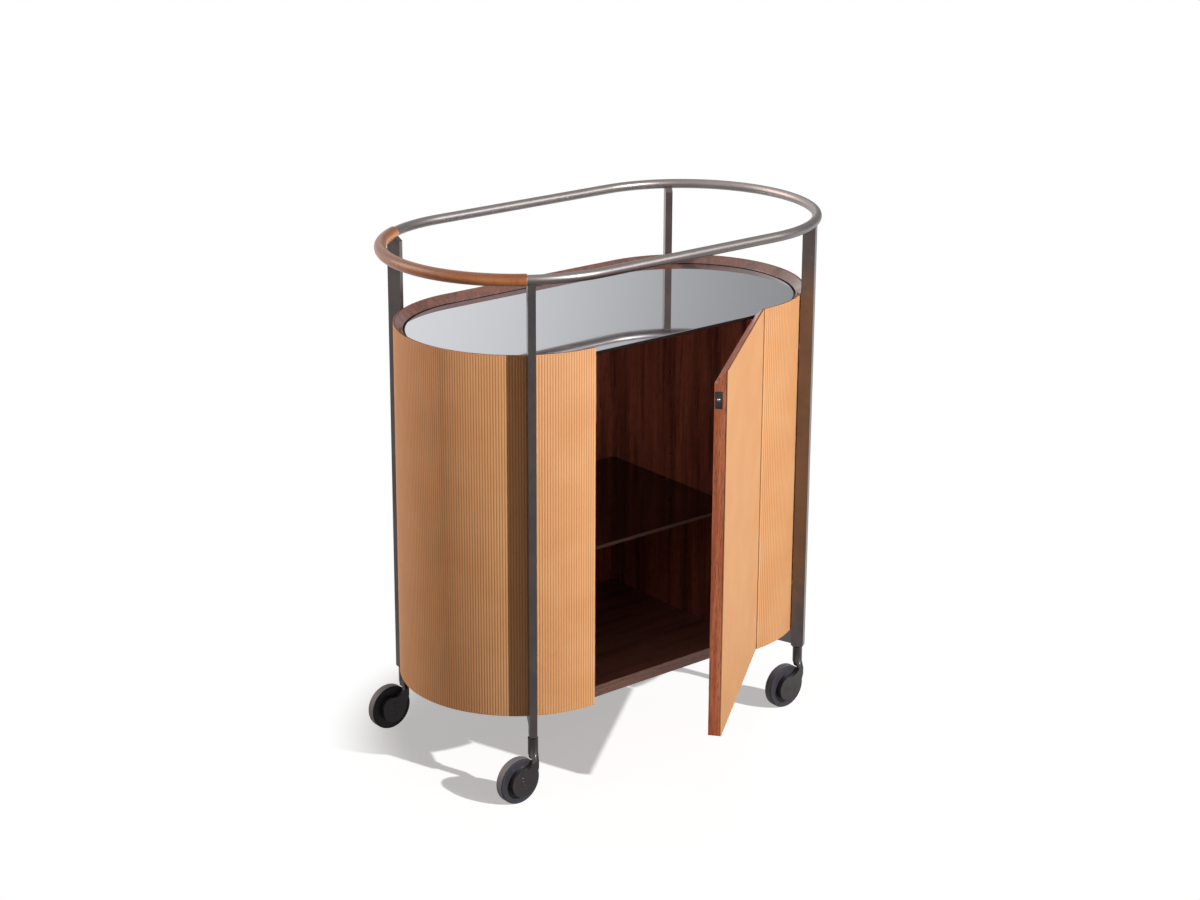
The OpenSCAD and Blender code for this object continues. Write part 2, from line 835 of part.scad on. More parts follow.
module catch_body() {
    color(BLACK) door_frame() at_catch() difference() {
        union() {
            translate([door_left, -plate_w / 2, -plate_h / 2])
                cube([plate_t, plate_w, plate_h]);
            rod_x(door_left + plate_t - eps, barrel_end, barrel_d);
        }
        translate([door_left, 0, 0]) rotate([0, 90, 0])
            cylinder(h = plate_t, r1 = ball_section(door_left) + ball_run,
                     r2 = ball_section(door_left + plate_t) + ball_run, $fn = fine_fn);
        rod_x(door_left + plate_t, barrel_end - barrel_wall, ball_d + 2 * ball_run);
    }
}

module catch_ball() {
    color(STEEL) door_frame() at_catch()
        translate([ball_x, 0, 0]) sphere(d = ball_d, $fn = fine_fn);
}

// The spring as the tube that its coils fill when they are pressed together.
module catch_spring() {
    color(STEEL) door_frame() at_catch() difference() {
        rod_x(spring_start, barrel_end - barrel_wall, spring_d);
        rod_x(spring_start - 1, barrel_end, spring_d - 2 * spring_wire);
    }
}

module strike_block(grow) {
    translate([opening_left - plate_t, catch_y - plate_w / 2, catch_z - plate_h / 2])
        cube([plate_t + grow, plate_w, plate_h]);
}

module strike_dimple() {
    at_catch() rod_x(opening_left - 2 * plate_t, opening_left + 1, dimple_d);
}

module strike_pocket() {
    strike_block(1);
    strike_dimple();
}

module strike_plate() {
    color(BLACK) difference() {
        strike_block(0);
        strike_dimple();
    }
}

// ---- casters ----

// Puts children at a corner's swivel axis, unturned.
module at_caster(corner) {
    translate([
        corner[0] * (half + post_rc * cos(post_angle)),
        corner[1] * post_rc * sin(post_angle), 0
    ]) children();
}

module at_axle(corner) {
    at_caster(corner) translate([-trail, 0, wheel_r]) children();
}

// Outline of the hub cover and its arm, in X and Z.
module cover_outline() {
    r = cover_d / 2;
    edge = trail - neck_edge;
    a = atan2(neck_low, edge) - acos(r / norm([edge, neck_low]));
    translate([-trail, wheel_r]) difference() {
        union() {
            circle(r, $fn = fine_fn * 2);
            polygon([
                [0, 0], [r * cos(a), r * sin(a)], [edge, neck_low], [edge, neck_high],
                [edge - neck_w, neck_high], [0, r - 1]
            ]);
        }
        translate([hollow_ahead, hollow_up]) circle(hollow_r, $fn = fine_fn * 2);
    }
}

module caster_housing(corner) {
    color(BLACK) at_caster(corner) difference() {
        union() {
            translate([0, 0, stem_z0])
                cylinder(h = stem_z1 - stem_z0, d = stem_d, $fn = fine_fn);
            hull() {
                translate([0, 0, stem_z0]) cylinder(h = 1, d = stem_d, $fn = 32);
                translate([-neck_edge - 3 * neck_w / 4, -cover_y1, neck_z0])
                    cube([3 * neck_w / 4, cover_t, neck_z1 - neck_z0]);
            }
            translate([0, -cover_y0, 0])
                rotate([90, 0, 0]) linear_extrude(cover_t) cover_outline();
        }
        translate([-trail, 0, wheel_r]) {
            rod_y(cover_y0 + cover_t, -cover_y0, 2 * clear_r);
            rod_y(-cover_y0 + 1, -cover_y0 - axle_deep, axle_d);
        }
        translate([0, 0, stem_z1 - swivel_down])
            cylinder(h = swivel_down + 1, d = swivel_d, $fn = fine_fn);
    }
}

module swivel_pin(corner) {
    color(STEEL) at_caster(corner) translate([0, 0, stem_z1 - swivel_down])
        cylinder(h = swivel_down + swivel_gap + swivel_up, d = swivel_d, $fn = fine_fn);
}

module axle(corner) {
    end = wheel_w / 2 + wheel_play;
    color(STEEL) at_axle(corner) {
        rod_y(end + eps, -cover_y0 - axle_deep, axle_d);
        rod_y(end + axle_head_h, end, axle_head_d);
    }
}

module wheel(corner) {
    web = wheel_w / 2 - 0.5;
    color(BLACK) at_axle(corner) difference() {
        union() {
            rod_y(web, -web, 2 * rim_r);
            rod_y(wheel_w / 2, -cover_y0 + wheel_play, boss_d);
        }
        rod_y(wheel_w, -wheel_w, axle_d + 2 * run_clear);
    }
}

module tyre(corner) {
    h = wheel_w / 2;
    c = tyre_round;
    color(BLACK) at_axle(corner) rotate([90, 0, 0])
        rotate_extrude($fn = fine_fn * 2) {
            translate([rim_r, -h]) square([tyre_t - c, wheel_w]);
            translate([rim_r, c - h]) square([tyre_t, wheel_w - 2 * c]);
            for (side = [-1, 1])
                translate([wheel_r - c, side * (h - c)]) circle(c, $fn = fine_fn);
        }
}

rail_hoop();
leather_grip();
post(FRONT_LEFT);  // post_front_left
post(FRONT_RIGHT);  // post_front_right
post(REAR_LEFT);  // post_rear_left
post(REAR_RIGHT);  // post_rear_right
bracket(FRONT_LEFT);  // bracket_front_left
bracket(FRONT_RIGHT);  // bracket_front_right
bracket(REAR_LEFT);  // bracket_rear_left
bracket(REAR_RIGHT);  // bracket_rear_right
post_washers();
post_screws();
bracket_screws();
left_shell();
right_shell();
rear_wall();
left_leather();
right_leather();
rear_leather();
floor_panel();
partition(-1);  // left_partition
partition(1);  // right_partition
back_panel();
partition_dowels();
glass_ledges();
glass_pads();
glass_top();
glass_shelf();
shelf_pins();
strike_plate();
hinge_leaf_cabinet();
hinge_pin();
hinge_screws_cabinet();
door_panel();
door_leather();
hinge_leaf_door();
hinge_screws_door();
catch_body();
catch_ball();
catch_spring();
caster_housing(FRONT_LEFT);  // caster_housing_front_left
caster_housing(FRONT_RIGHT);  // caster_housing_front_right
caster_housing(REAR_LEFT);  // caster_housing_rear_left
caster_housing(REAR_RIGHT);  // caster_housing_rear_right
swivel_pin(FRONT_LEFT);  // swivel_pin_front_left
swivel_pin(FRONT_RIGHT);  // swivel_pin_front_right
swivel_pin(REAR_LEFT);  // swivel_pin_rear_left
swivel_pin(REAR_RIGHT);  // swivel_pin_rear_right
axle(FRONT_LEFT);  // axle_front_left
axle(FRONT_RIGHT);  // axle_front_right
axle(REAR_LEFT);  // axle_rear_left
axle(REAR_RIGHT);  // axle_rear_right
wheel(FRONT_LEFT);  // wheel_front_left
wheel(FRONT_RIGHT);  // wheel_front_right
wheel(REAR_LEFT);  // wheel_rear_left
wheel(REAR_RIGHT);  // wheel_rear_right
tyre(FRONT_LEFT);  // tyre_front_left
tyre(FRONT_RIGHT);  // tyre_front_right
tyre(REAR_LEFT);  // tyre_rear_left
tyre(REAR_RIGHT);  // tyre_rear_right
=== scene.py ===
# %% [markdown]
# # An oval serving cabinet in leather, walnut and bronzed steel
#
# The solids of this cabinet come from its construction file and are loaded as a fixed frame.
# This lesson gives each of them the surface that the real one has. Some solids keep their
# mesh and only get a material. Others are replaced by a finer piece in the same place: the
# leather by a skin with pressed ribs, the round bar by a smooth sweep, and the wood, metal and
# glass by copies whose edges are eased, because no real edge is knife sharp.

# %% Load the frame
import json
import math

import bmesh
import bpy
import numpy
from mathutils import Matrix, Vector


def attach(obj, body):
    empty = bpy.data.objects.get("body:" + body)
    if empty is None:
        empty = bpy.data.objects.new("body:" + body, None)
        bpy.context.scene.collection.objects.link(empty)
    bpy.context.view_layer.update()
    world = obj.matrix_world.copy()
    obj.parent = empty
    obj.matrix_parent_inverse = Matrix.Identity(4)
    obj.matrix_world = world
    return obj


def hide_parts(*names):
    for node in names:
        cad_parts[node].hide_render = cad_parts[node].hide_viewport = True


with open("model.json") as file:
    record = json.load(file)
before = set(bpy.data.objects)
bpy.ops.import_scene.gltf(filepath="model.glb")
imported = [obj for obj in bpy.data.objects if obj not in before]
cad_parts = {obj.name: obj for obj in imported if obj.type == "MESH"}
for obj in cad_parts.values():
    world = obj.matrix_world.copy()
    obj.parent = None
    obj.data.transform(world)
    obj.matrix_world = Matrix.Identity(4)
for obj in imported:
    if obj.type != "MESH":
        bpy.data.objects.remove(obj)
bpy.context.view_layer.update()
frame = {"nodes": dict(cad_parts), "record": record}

nodes = frame["nodes"]
body_of = {n: b for b, members in frame["record"]["behaviour"]["bodies"].items() for n in members}

# %% [markdown]
# ## The sizes that are used again
#
# The script can't read the construction file, so the few sizes that a finer piece needs are
# written here once, in millimetres, and turned to metres. The plan is a stadium: two half
# circles joined by straight lines. The door turns about one upright axis beside it.

# %% Sizes
MM = 0.001
HALF = 178 * MM            # from the middle to the centre of each round end
SKIN_R = 196 * MM          # round ends, over the leather
LEATHER = 3 * MM
FOOT, RIM = 133 * MM, 728 * MM
LEFT_EDGE, RIGHT_EDGE = -176 * MM, 173.8 * MM        # the walls' edges beside the door
DOOR_LEFT, DOOR_RIGHT = -174.3 * MM, 170.2 * MM      # the closed door's edges
HINGE = Vector((172.0, -194.4, 0)) * MM
RAIL_R, RAIL_Z, BAR_R, GRIP_R = 213 * MM, 850 * MM, 8 * MM, 9.8 * MM
POST_ANGLE = math.radians(58.5)
OPEN = math.radians(38.5)


def door_turn(point):
    """Carries a point of the closed door to where the door stands."""
    return Matrix.Rotation(OPEN, 3, "Z") @ (Vector(point) - HINGE) + HINGE


print("door stands open", round(math.degrees(OPEN), 1), "degrees; free edge at",
      [round(c, 4) for c in door_turn((DOOR_LEFT, -SKIN_R, 0))])

# %% [markdown]
# ## Helpers
#
# Colours are written as they look on a screen, in hex, and one function turns them to the
# linear numbers that a renderer mixes. Another adds one node to a tree with its settings and
# inputs, and is all that the node trees here need. The kinds of node that come back most
# often have a short name, and the others are named without the words that every kind in such
# a tree starts with. A third puts a new object in the scene.

# %% Helpers for colours and nodes
MATH, VECTOR, RANGE, MIX = ("ShaderNode" + k for k in ("Math", "VectorMath", "MapRange", "Mix"))
NOISE, PLACE = "ShaderNodeTexNoise", "ShaderNodeTexCoord"
PREFIX = {"SHADER": "ShaderNode", "GEOMETRY": "GeometryNode"}


def linear(colour):
    """Linear RGBA of an sRGB hex colour."""
    parts = [int(colour[i:i + 2], 16) / 255 for i in (1, 3, 5)]
    return [p / 12.92 if p <= 0.04045 else ((p + 0.055) / 1.055) ** 2.4 for p in parts] + [1.0]


def add(tree, kind, inputs={}, **settings):
    """Adds a node with its settings; an input is a node, one of its sockets or a constant."""
    node = tree.nodes.new(kind if "Node" in kind else PREFIX[tree.type] + kind)
    for name, value in settings.items():
        setattr(node, name, value)
    for key, value in inputs.items():
        if isinstance(value, bpy.types.Node):
            value = value.outputs[0]
        if isinstance(value, bpy.types.NodeSocket):
            tree.links.new(value, node.inputs[key])
        else:
            node.inputs[key].default_value = value
    return node


def in_scene(name, data):
    """A new object, linked to the scene."""
    made = bpy.data.objects.new(name, data)
    bpy.context.scene.collection.objects.link(made)
    return made


# %% Helpers for materials
def empty_tree(holder):
    """Clears the node tree of a material or a world, and returns it."""
    holder.use_nodes = True
    holder.node_tree.nodes.clear()
    return holder.node_tree


def surface(name, values):
    """A material, its tree, its one main shader, and a socket with the place in metres."""
    material = bpy.data.materials.new(name)
    tree = empty_tree(material)
    shader = add(tree, "BsdfPrincipled", values)
    add(tree, "OutputMaterial", {"Surface": shader})
    return material, tree, shader, add(tree, PLACE).outputs["Object"]


def cover(tree, shader, colour, rough, height=None, strength=0.0, deep=0.3):
    """Gives a shader its colour, its roughness and its bumps, deep in millimetres."""
    tree.links.new(colour, shader.inputs["Base Color"])
    tree.links.new(rough.outputs[0], shader.inputs["Roughness"])
    if height is not None:
        bump = add(tree, "Bump", {"Height": height, "Strength": strength, "Distance": deep * MM})
        tree.links.new(bump.outputs[0], shader.inputs["Normal"])


print("walnut brown as linear numbers:", [round(c, 3) for c in linear("#6d3a26")])

# %% [markdown]
# ## The camera
#
# The camera stands where the solved photograph says: to the left of the front, a metre above
# the bar and 4 m away, with a long lens. The picture was cropped off centre, so a small lens
# shift puts the object back in its place in the frame.

# %% Camera
azimuth, elevation, roll = (math.radians(a) for a in (-40.755, 17.433, 0.7286))
back = Vector((math.sin(azimuth) * math.cos(elevation),
               -math.cos(azimuth) * math.cos(elevation), math.sin(elevation)))
level = (-back).cross(Vector((0, 0, 1))).normalized()
up = level.cross(-back)
side = math.cos(roll) * level + math.sin(roll) * up
up = math.cos(roll) * up - math.sin(roll) * level
FOCAL, WIDE, SENSOR = 2504.1, 1200, 36  # pixels, pixels and millimetres
camera = in_scene("camera", bpy.data.cameras.new("camera"))
camera.data.sensor_fit = "HORIZONTAL"
camera.data.sensor_width = SENSOR
camera.data.lens = FOCAL / WIDE * SENSOR
camera.data.shift_x, camera.data.shift_y = -0.05495, -0.0556
camera.matrix_world = Matrix.Translation((-2.4849, -3.0388, 1.8215)) @ Matrix(
    (side, up, back)).transposed().to_4x4()
bpy.context.scene.camera = camera
print("camera lens", round(camera.data.lens, 2), "mm")

# %% [markdown]
# ## Floor, sky and lamps
#
# A plain pale floor carries the object's shadow. A part of its white is light of its own, seen
# by the camera, in mirrors and through glass only, so the floor stays pale without more light
# on the object. That part grows with the distance, so the shadow fades as on a paper sweep.
# In reflections only the floor behind the object has it, and the floor in front stays grey.
# The world works the same way: white where it is seen, dim as a lamp, and in reflections white
# to the rear left, pale grey above, and darker grey to the right and in front. That is what
# gives metal and glass their contrast. The shadows in the photograph give the key light's
# place: 17 degrees right of the front and 28.5 degrees up, small and sharp. A wide and slightly
# warm fill comes from the rear left. It is linked so that it passes the floor by, which keeps
# one clear shadow there. A weak warm one from the front keeps the shadows open.

# %% Floor
FAR = 22                   # metres from the middle of the floor to its sides
OWN_LIGHT = 0.42           # the floor's own light beside the object, where 1 is white
floor_mesh = bpy.data.meshes.new("floor")
floor_mesh.from_pydata([(-FAR, -FAR, 0), (FAR, -FAR, 0), (FAR, FAR, 0), (-FAR, FAR, 0)], [],
                       [(0, 1, 2, 3)])
floor = in_scene("floor", floor_mesh)
paper = bpy.data.materials.new("pale_paper_floor")
tree = empty_tree(paper)
path = add(tree, "LightPath")
either = add(tree, MATH, {0: path.outputs["Is Camera Ray"], 1: path.outputs["Is Glossy Ray"]},
    operation="MAXIMUM")
seen = add(tree, MATH, {0: either, 1: path.outputs["Is Transmission Ray"]}, operation="MAXIMUM")
place = add(tree, PLACE)
behind = add(tree, VECTOR, {0: place.outputs["Object"], 1: (0.65, 0.76, 0.0)},
    operation="DOT_PRODUCT")
rear = add(tree, RANGE, {"Value": behind.outputs["Value"], "From Min": -0.5, "From Max": 0.5,
    "To Min": 0.3}, interpolation_type="SMOOTHSTEP")
level = add(tree, MIX, {0: path.outputs["Is Glossy Ray"], 2: 1.0, 3: rear})
near_level = add(tree, MATH, {0: level, 1: OWN_LIGHT}, operation="MULTIPLY")
near_seen = add(tree, MATH, {0: near_level, 1: seen}, operation="MULTIPLY")
tint = add(tree, MIX, {0: path.outputs["Is Camera Ray"], 6: linear("#8c8c8c"),
    7: linear("#fbfbfb")}, data_type="RGBA")
matt = add(tree, "BsdfDiffuse", {"Color": tint.outputs[2]})
near_glow = add(tree, "Emission", {"Strength": near_seen, "Color": linear("#ffffff")})
near = add(tree, "AddShader", {0: matt, 1: near_glow})
far_glow = add(tree, "Emission", {"Strength": level, "Color": linear("#ffffff")})
away = add(tree, VECTOR, {0: place.outputs["Object"], 1: (-0.03, -0.05, 0.0)},
    operation="DISTANCE")
fade = add(tree, RANGE, {"Value": away.outputs["Value"], "From Min": 0.33, "From Max": 0.48},
    interpolation_type="SMOOTHSTEP")
share = add(tree, MATH, {0: seen, 1: fade}, operation="MULTIPLY")
both = add(tree, "MixShader", {0: share, 1: near, 2: far_glow})
add(tree, "OutputMaterial", {"Surface": both})
floor.data.materials.append(paper)
print("floor", len(floor.data.polygons), "face, own light", OWN_LIGHT)

# %% World and lamps
AMBIENT = 0.05             # how bright the world is as a lamp
DIM_SIDE = 0.38            # how bright its right side is in reflections
DIM_FRONT = 0.22           # how bright its front is in reflections
world = bpy.data.worlds.new("soft_studio")
tree = empty_tree(world)
path = add(tree, "LightPath")
way = add(tree, PLACE)
slant = add(tree, VECTOR, {0: way.outputs["Generated"], 1: (-0.757, 0.653, 0.0)},
    operation="DOT_PRODUCT")
left_side = add(tree, RANGE, {"Value": slant.outputs["Value"], "From Min": -0.07,
    "From Max": 0.13}, interpolation_type="SMOOTHSTEP")
height = add(tree, "SeparateXYZ", {0: way.outputs["Generated"]})
above = add(tree, RANGE, {"Value": height.outputs[2], "From Min": 0.4, "From Max": 0.8,
    "To Max": 0.45}, interpolation_type="SMOOTHSTEP")
bright = add(tree, MATH, {0: left_side, 1: above}, operation="MAXIMUM")
least = add(tree, RANGE, {"Value": height.outputs[1], "From Min": -0.3, "From Max": 0.3,
    "To Min": DIM_FRONT, "To Max": DIM_SIDE})
mirrored = add(tree, RANGE, {"Value": bright, "To Min": least, "To Max": 1.0})
glossy = add(tree, MIX, {0: path.outputs["Is Glossy Ray"], 2: AMBIENT, 3: mirrored})
clear = add(tree, MATH, {0: path.outputs["Is Camera Ray"], 1: path.outputs["Is Transmission Ray"]},
    operation="MAXIMUM")
strength = add(tree, MIX, {0: clear, 2: glossy, 3: 1.0})
sky = add(tree, "Background", {"Strength": strength, "Color": linear("#ffffff")})
add(tree, "OutputWorld", {"Surface": sky})
bpy.context.scene.world = world
bpy.context.scene.view_settings.view_transform = "Standard"


def sun(name, towards, strength, width):
    """A far lamp that shines from a direction, with a soft edge to its shadows."""
    lamp = bpy.data.lights.new(name, "SUN")
    lamp.energy, lamp.angle = strength, math.radians(width)
    holder = in_scene(name, lamp)
    holder.rotation_euler = Vector(towards).to_track_quat("Z", "Y").to_euler()
    return holder


key = sun("key_front_right", (0.257, -0.840, 0.477), 3.5, 1.2)
fill = sun("fill_rear_left", (-0.60, 0.68, 0.42), 1.8, 40)
front = sun("weak_fill_front", (-0.35, -0.90, 0.25), 0.22, 80)
fill.data.color = linear("#ffeadc")[:3]
front.data.color = linear("#ffc898")[:3]
unlit = bpy.data.collections.new("not_lit_by_the_fill")
unlit.objects.link(floor)
unlit.collection_objects[0].light_linking.link_state = "EXCLUDE"
fill.light_linking.receiver_collection = unlit
print("lamps", [(lamp.name, round(lamp.data.energy, 2)) for lamp in (key, fill, front)])

# %% [markdown]
# ## Saddle leather with pressed ribs
#
# The walls and the door wear vegetable-tanned saddle leather, 3 mm thick, dyed through in a
# warm tan and pressed into fine upright ribs. Such leather is smooth, nearly matt and a little
# uneven in tone. The grooves get a darker colour as painted shade. The rib shape comes with the
# mesh, which stores how deep in a groove each point lies; the material reads that for the
# painted shade. The cut edge is burnished and waxed, which makes it brown. Faces that point
# upwards get a darker colour, by a share that each leather is given. Real pores are 0.1 mm wide
# and don't show at this distance, so they are drawn 1.5 mm apart and very shallow.

# %% Leather
def leather(name, light, middle, deep, cut, streak, upward_darkening, gloss, smooth, coat):
    """Tan leather; reads the mesh's groove and cut edge numbers where it has them."""
    material, tree, shader, place = surface(name, {"IOR": 1.5, "Specular IOR Level": gloss,
        "Coat Weight": coat, "Coat Roughness": 0.3})
    cloudy = add(tree, NOISE, {"Vector": place, "Scale": 14.0, "Detail": 3.0})  # clouds of 70 mm
    clouds = add(tree, RANGE, {"Value": cloudy, "From Min": 0.35, "From Max": 0.65})
    upright = add(tree, "Mapping", {"Vector": place, "Scale": (1, 1, 0.045)})
    streaky = add(tree, NOISE, {"Vector": upright, "Scale": 150.0, "Detail": 3.0,
        "Distortion": 0.1})  # 7 mm wide
    streaks = add(tree, RANGE, {"Value": streaky, "From Min": 0.5, "From Max": 0.78,
        "To Max": streak})
    # faces that point upwards get the deep colour, by a share that each leather is given
    facing = add(tree, "NewGeometry")
    upward = add(tree, "SeparateXYZ", {0: facing.outputs["Normal"]})
    upward_share = add(tree, RANGE, {"Value": upward.outputs[2], "From Max": 0.8, "To Max": upward_darkening},
        interpolation_type="SMOOTHSTEP")
    groove, edge = (add(tree, "Attribute", attribute_name=stored).outputs["Fac"]
                    for stored in ("groove", "cut_edge"))
    # painted shade: the colour darkens towards the bottom of each rib groove
    depth = add(tree, RANGE, {"Value": groove, "From Min": 0.25, "To Max": 0.8},
        interpolation_type="SMOOTHSTEP")
    colour = linear(middle)
    for share, tone in ((clouds, light), (streaks, deep), (upward_share, deep), (depth, deep),
                        (edge, cut)):
        colour = add(tree, MIX, {0: share, 6: colour, 7: linear(tone)},
            data_type="RGBA").outputs[2]
    pores = add(tree, "TexVoronoi", {"Vector": place, "Scale": 650.0})
    rough = add(tree, RANGE, {"Value": cloudy, "To Min": smooth, "To Max": smooth + 0.16})
    cover(tree, shader, colour, rough, pores, 0.12)
    return material


ribbed_hide = leather("saddle_leather_pressed_ribs", "#ebb17a", "#e6a870", "#aa683a",
                      "#6e4634", 0.06, 0.0, 0.5, 0.48, 0.0)
grip_hide = leather("saddle_leather_hand_grip", "#cc8450", "#bc7442", "#6a3819", "#d8b088",
                    0.45, 0.75, 0.5, 0.35, 0.4)
print("leathers:", ribbed_hide.name, grip_hide.name)

# %% [markdown]
# ## Lacquered walnut
#
# The cabinet is stained walnut veneer under a satin lacquer. Its grain is straight: broad
# bands, finer streaks inside them, and short dark pores that run the same way. Each is the
# same noise, stretched twenty times along the grain, at its own scale. Real pores are 0.2 mm
# wide; here they are 0.8 mm, the finest that the picture can show. Upright panels get an
# upright grain, and the bottom panel a grain from side to side.

# %% Walnut
def walnut(name, stretch, dark, middle, light, coat=0.45, smooth=0.16, depth=1.5):
    """Straight-grained walnut; stretch shrinks the pattern's coordinates along the grain."""
    material, tree, shader, place = surface(name, {"IOR": 1.5, "Coat Weight": coat,
        "Coat Roughness": smooth, "Coat IOR": depth})
    along = add(tree, "Mapping", {"Vector": place, "Scale": stretch})
    grain, colour = [], linear(dark)
    for scale, detail, rough, twist, low, high, most, tone in (
            (24.0, 2.5, 0.5, 1.6, 0.38, 0.62, 1.0, middle),             # bands 40 mm wide
            (190.0, 4.0, 0.6, 0.3, 0.46, 0.76, 0.6, light),             # streaks 5 mm wide
            (1250.0, 1.0, 0.5, 0.0, 0.56, 0.66, 0.6, "#1f0d08")):       # dashes 0.8 mm wide
        noise = add(tree, NOISE, {"Vector": along, "Scale": scale, "Detail": detail,
            "Roughness": rough, "Distortion": twist})
        share = add(tree, RANGE, {"Value": noise, "From Min": low, "From Max": high,
            "To Max": most})
        colour = add(tree, MIX, {0: share, 6: colour, 7: linear(tone)},
            data_type="RGBA").outputs[2]
        grain.append(noise)
    sheen = add(tree, RANGE, {"Value": grain[1], "To Min": 0.34, "To Max": 0.5})
    cover(tree, shader, colour, sheen, grain[2], 0.1)
    return material


UPRIGHT, SIDEWAYS = (1, 1, 0.05), (0.05, 1, 1)
walnut_upright = walnut("walnut_veneer_upright", UPRIGHT, "#5f2c20", "#a55a44", "#bd765e")
walnut_lying = walnut("walnut_veneer_lying", SIDEWAYS, "#4c2a22", "#6f4438", "#875c4f")
walnut_edge = walnut("walnut_solid_edge", UPRIGHT, "#b85a34", "#dc7f55", "#ee9c70")
walnut_rim = walnut("walnut_rim_polished", UPRIGHT, "#542a1e", "#743f2e", "#925c48", 1.0, 0.14,
                    1.6)
# painted shade: a dark walnut for the upright inner faces below the slope and in the rebate
painted_shade_walnut = walnut("walnut_rebate_painted_shade", UPRIGHT, "#1f1210", "#33201b", "#412a23", 0.3, 0.3)
# painted light: a paler, glossier walnut for the bottom board's front edge, standing in for light
# on it
walnut_front_painted_light = walnut("walnut_front_edge_painted_light", SIDEWAYS, "#a0664e", "#c99580", "#dcae9c", 1.0,
                        0.25)
print("woods:", walnut_upright.name, walnut_lying.name, walnut_edge.name, walnut_rim.name)

# %% [markdown]
# ## Bronzed steel
#
# The bar, the uprights and the brackets are steel, finely ground and burnished to a dark
# bronze. That leaves a satin metal: dark grey brown, with broad soft reflections and a faint
# grain along each bar. The colour is the metal's own reflection colour. The grinding marks are
# finer than the picture shows, so they are drawn 2 mm wide and change the roughness only.

# %% Bronzed steel
def bronzed(name, stretch, colour, warm, smooth):
    """Burnished bronze finish on ground steel."""
    material, tree, shader, place = surface(name, {"Metallic": 1.0})
    along = add(tree, "Mapping", {"Vector": place, "Scale": stretch})
    marks = add(tree, NOISE, {"Vector": along, "Scale": 500.0, "Detail": 3.0, "Roughness": 0.6})
    patina = add(tree, NOISE, {"Vector": place, "Scale": 30.0, "Detail": 3.0})  # clouds of 33 mm
    spread = add(tree, RANGE, {"Value": patina, "From Min": 0.35, "From Max": 0.65})
    tone = add(tree, MIX, {0: spread, 6: linear(colour), 7: linear(warm)}, data_type="RGBA")
    rough = add(tree, RANGE, {"Value": marks, "From Min": 0.3, "From Max": 0.7, "To Min": smooth,
        "To Max": smooth + 0.04})
    cover(tree, shader, tone.outputs[2], rough)
    return material


bronze_upright = bronzed("bronzed_steel_upright_grain", (1, 1, 0.03), "#7b7577", "#877d79",
                         0.3)
bronze_bar = bronzed("bronzed_steel_bar", (0.2, 0.2, 1), "#938c8d", "#99918d", 0.4)
print("metals:", bronze_upright.name, bronze_bar.name)

# %% [markdown]
# ## Glass
#
# The sunk top is grey mirror glass: it returns about half of the light, so it shows the pale
# room, the bar and the rim above it, and nothing of the pads below. It behaves like a grey
# metal under a clear polished face. Its ground edge is dark. The shelf is clear smoky glass;
# its edge faces get an opaque pale colour as a painted highlight. Both have a trace of wiping
# marks in their gloss.

# %% Glass
def wiped(name, values, low, high):
    """A glass with very faint wiping marks, 40 mm wide, in its gloss."""
    material, tree, shader, place = surface(name, values)
    marks = add(tree, NOISE, {"Vector": place, "Scale": 25.0, "Detail": 4.0, "Distortion": 1.5})
    gloss = add(tree, RANGE, {"Value": marks, "From Min": 0.3, "From Max": 0.7, "To Min": low,
        "To Max": high})
    tree.links.new(gloss.outputs[0], shader.inputs["Roughness"])
    return material


mirror_glass = wiped("grey_mirror_glass", {"Base Color": linear("#c2c4cb"), "Metallic": 1.0,
    "Coat Weight": 0.5, "Coat Roughness": 0.01, "Coat IOR": 1.5}, 0.015, 0.045)
glass_edge = wiped("ground_glass_edge", {"Base Color": linear("#17181b"), "IOR": 1.5,
    "Coat Weight": 0.3}, 0.2, 0.35)
shelf_glass = wiped("grey_tinted_clear_glass", {"Base Color": linear("#8a8788"), "IOR": 1.5,
    "Transmission Weight": 1.0}, 0.0, 0.03)
# painted highlight: an opaque pale colour for the shelf's edge faces
shelf_edge_painted_highlight = wiped("smoky_glass_edge_painted_highlight", {"Base Color": linear("#8f8480"), "IOR": 1.5},
    0.08, 0.16)
print("glass:", mirror_glass.name, glass_edge.name, shelf_glass.name)

# %% [markdown]
# ## Small metals, plastics and rubber
#
# The caster housings are cast and painted satin black, which leaves a very fine orange peel.
# The wheels are moulded nylon and the tyres soft rubber, both dark grey and nearly matt, with
# the slight speckle of their moulds. Screws and pins are zinc plated, the catch's ball is
# polished, its plates are blackened, and the dowels are raw beech.

# %% Fine-grained finishes
def speckled(name, colour, other, values, grain, rough, bumps):
    """A plain finish with a fine grain: two close colours, uneven gloss and low bumps."""
    material, tree, shader, place = surface(name, values)
    fine = add(tree, NOISE, {"Vector": place, "Scale": 1 / (grain * MM), "Detail": 2.0})
    cloudy = add(tree, NOISE, {"Vector": place, "Scale": 60.0, "Detail": 2.0})
    tone = add(tree, MIX, {0: cloudy, 6: linear(colour), 7: linear(other)}, data_type="RGBA")
    gloss = add(tree, RANGE, {"Value": cloudy, "From Min": 0.3, "From Max": 0.7,
        "To Min": rough - 0.05, "To Max": rough + 0.05})
    cover(tree, shader, tone.outputs[2], gloss, fine, bumps, 0.2)
    return material


housing_black = speckled("satin_black_cast_housing", "#241f22", "#2f292b",
                         {"IOR": 1.5, "Coat Weight": 0.8, "Coat Roughness": 0.12}, 1.5, 0.36, 0.15)
nylon_grey = speckled("moulded_nylon_wheel", "#302f37", "#3a3942", {"IOR": 1.52}, 1.2, 0.45, 0.15)
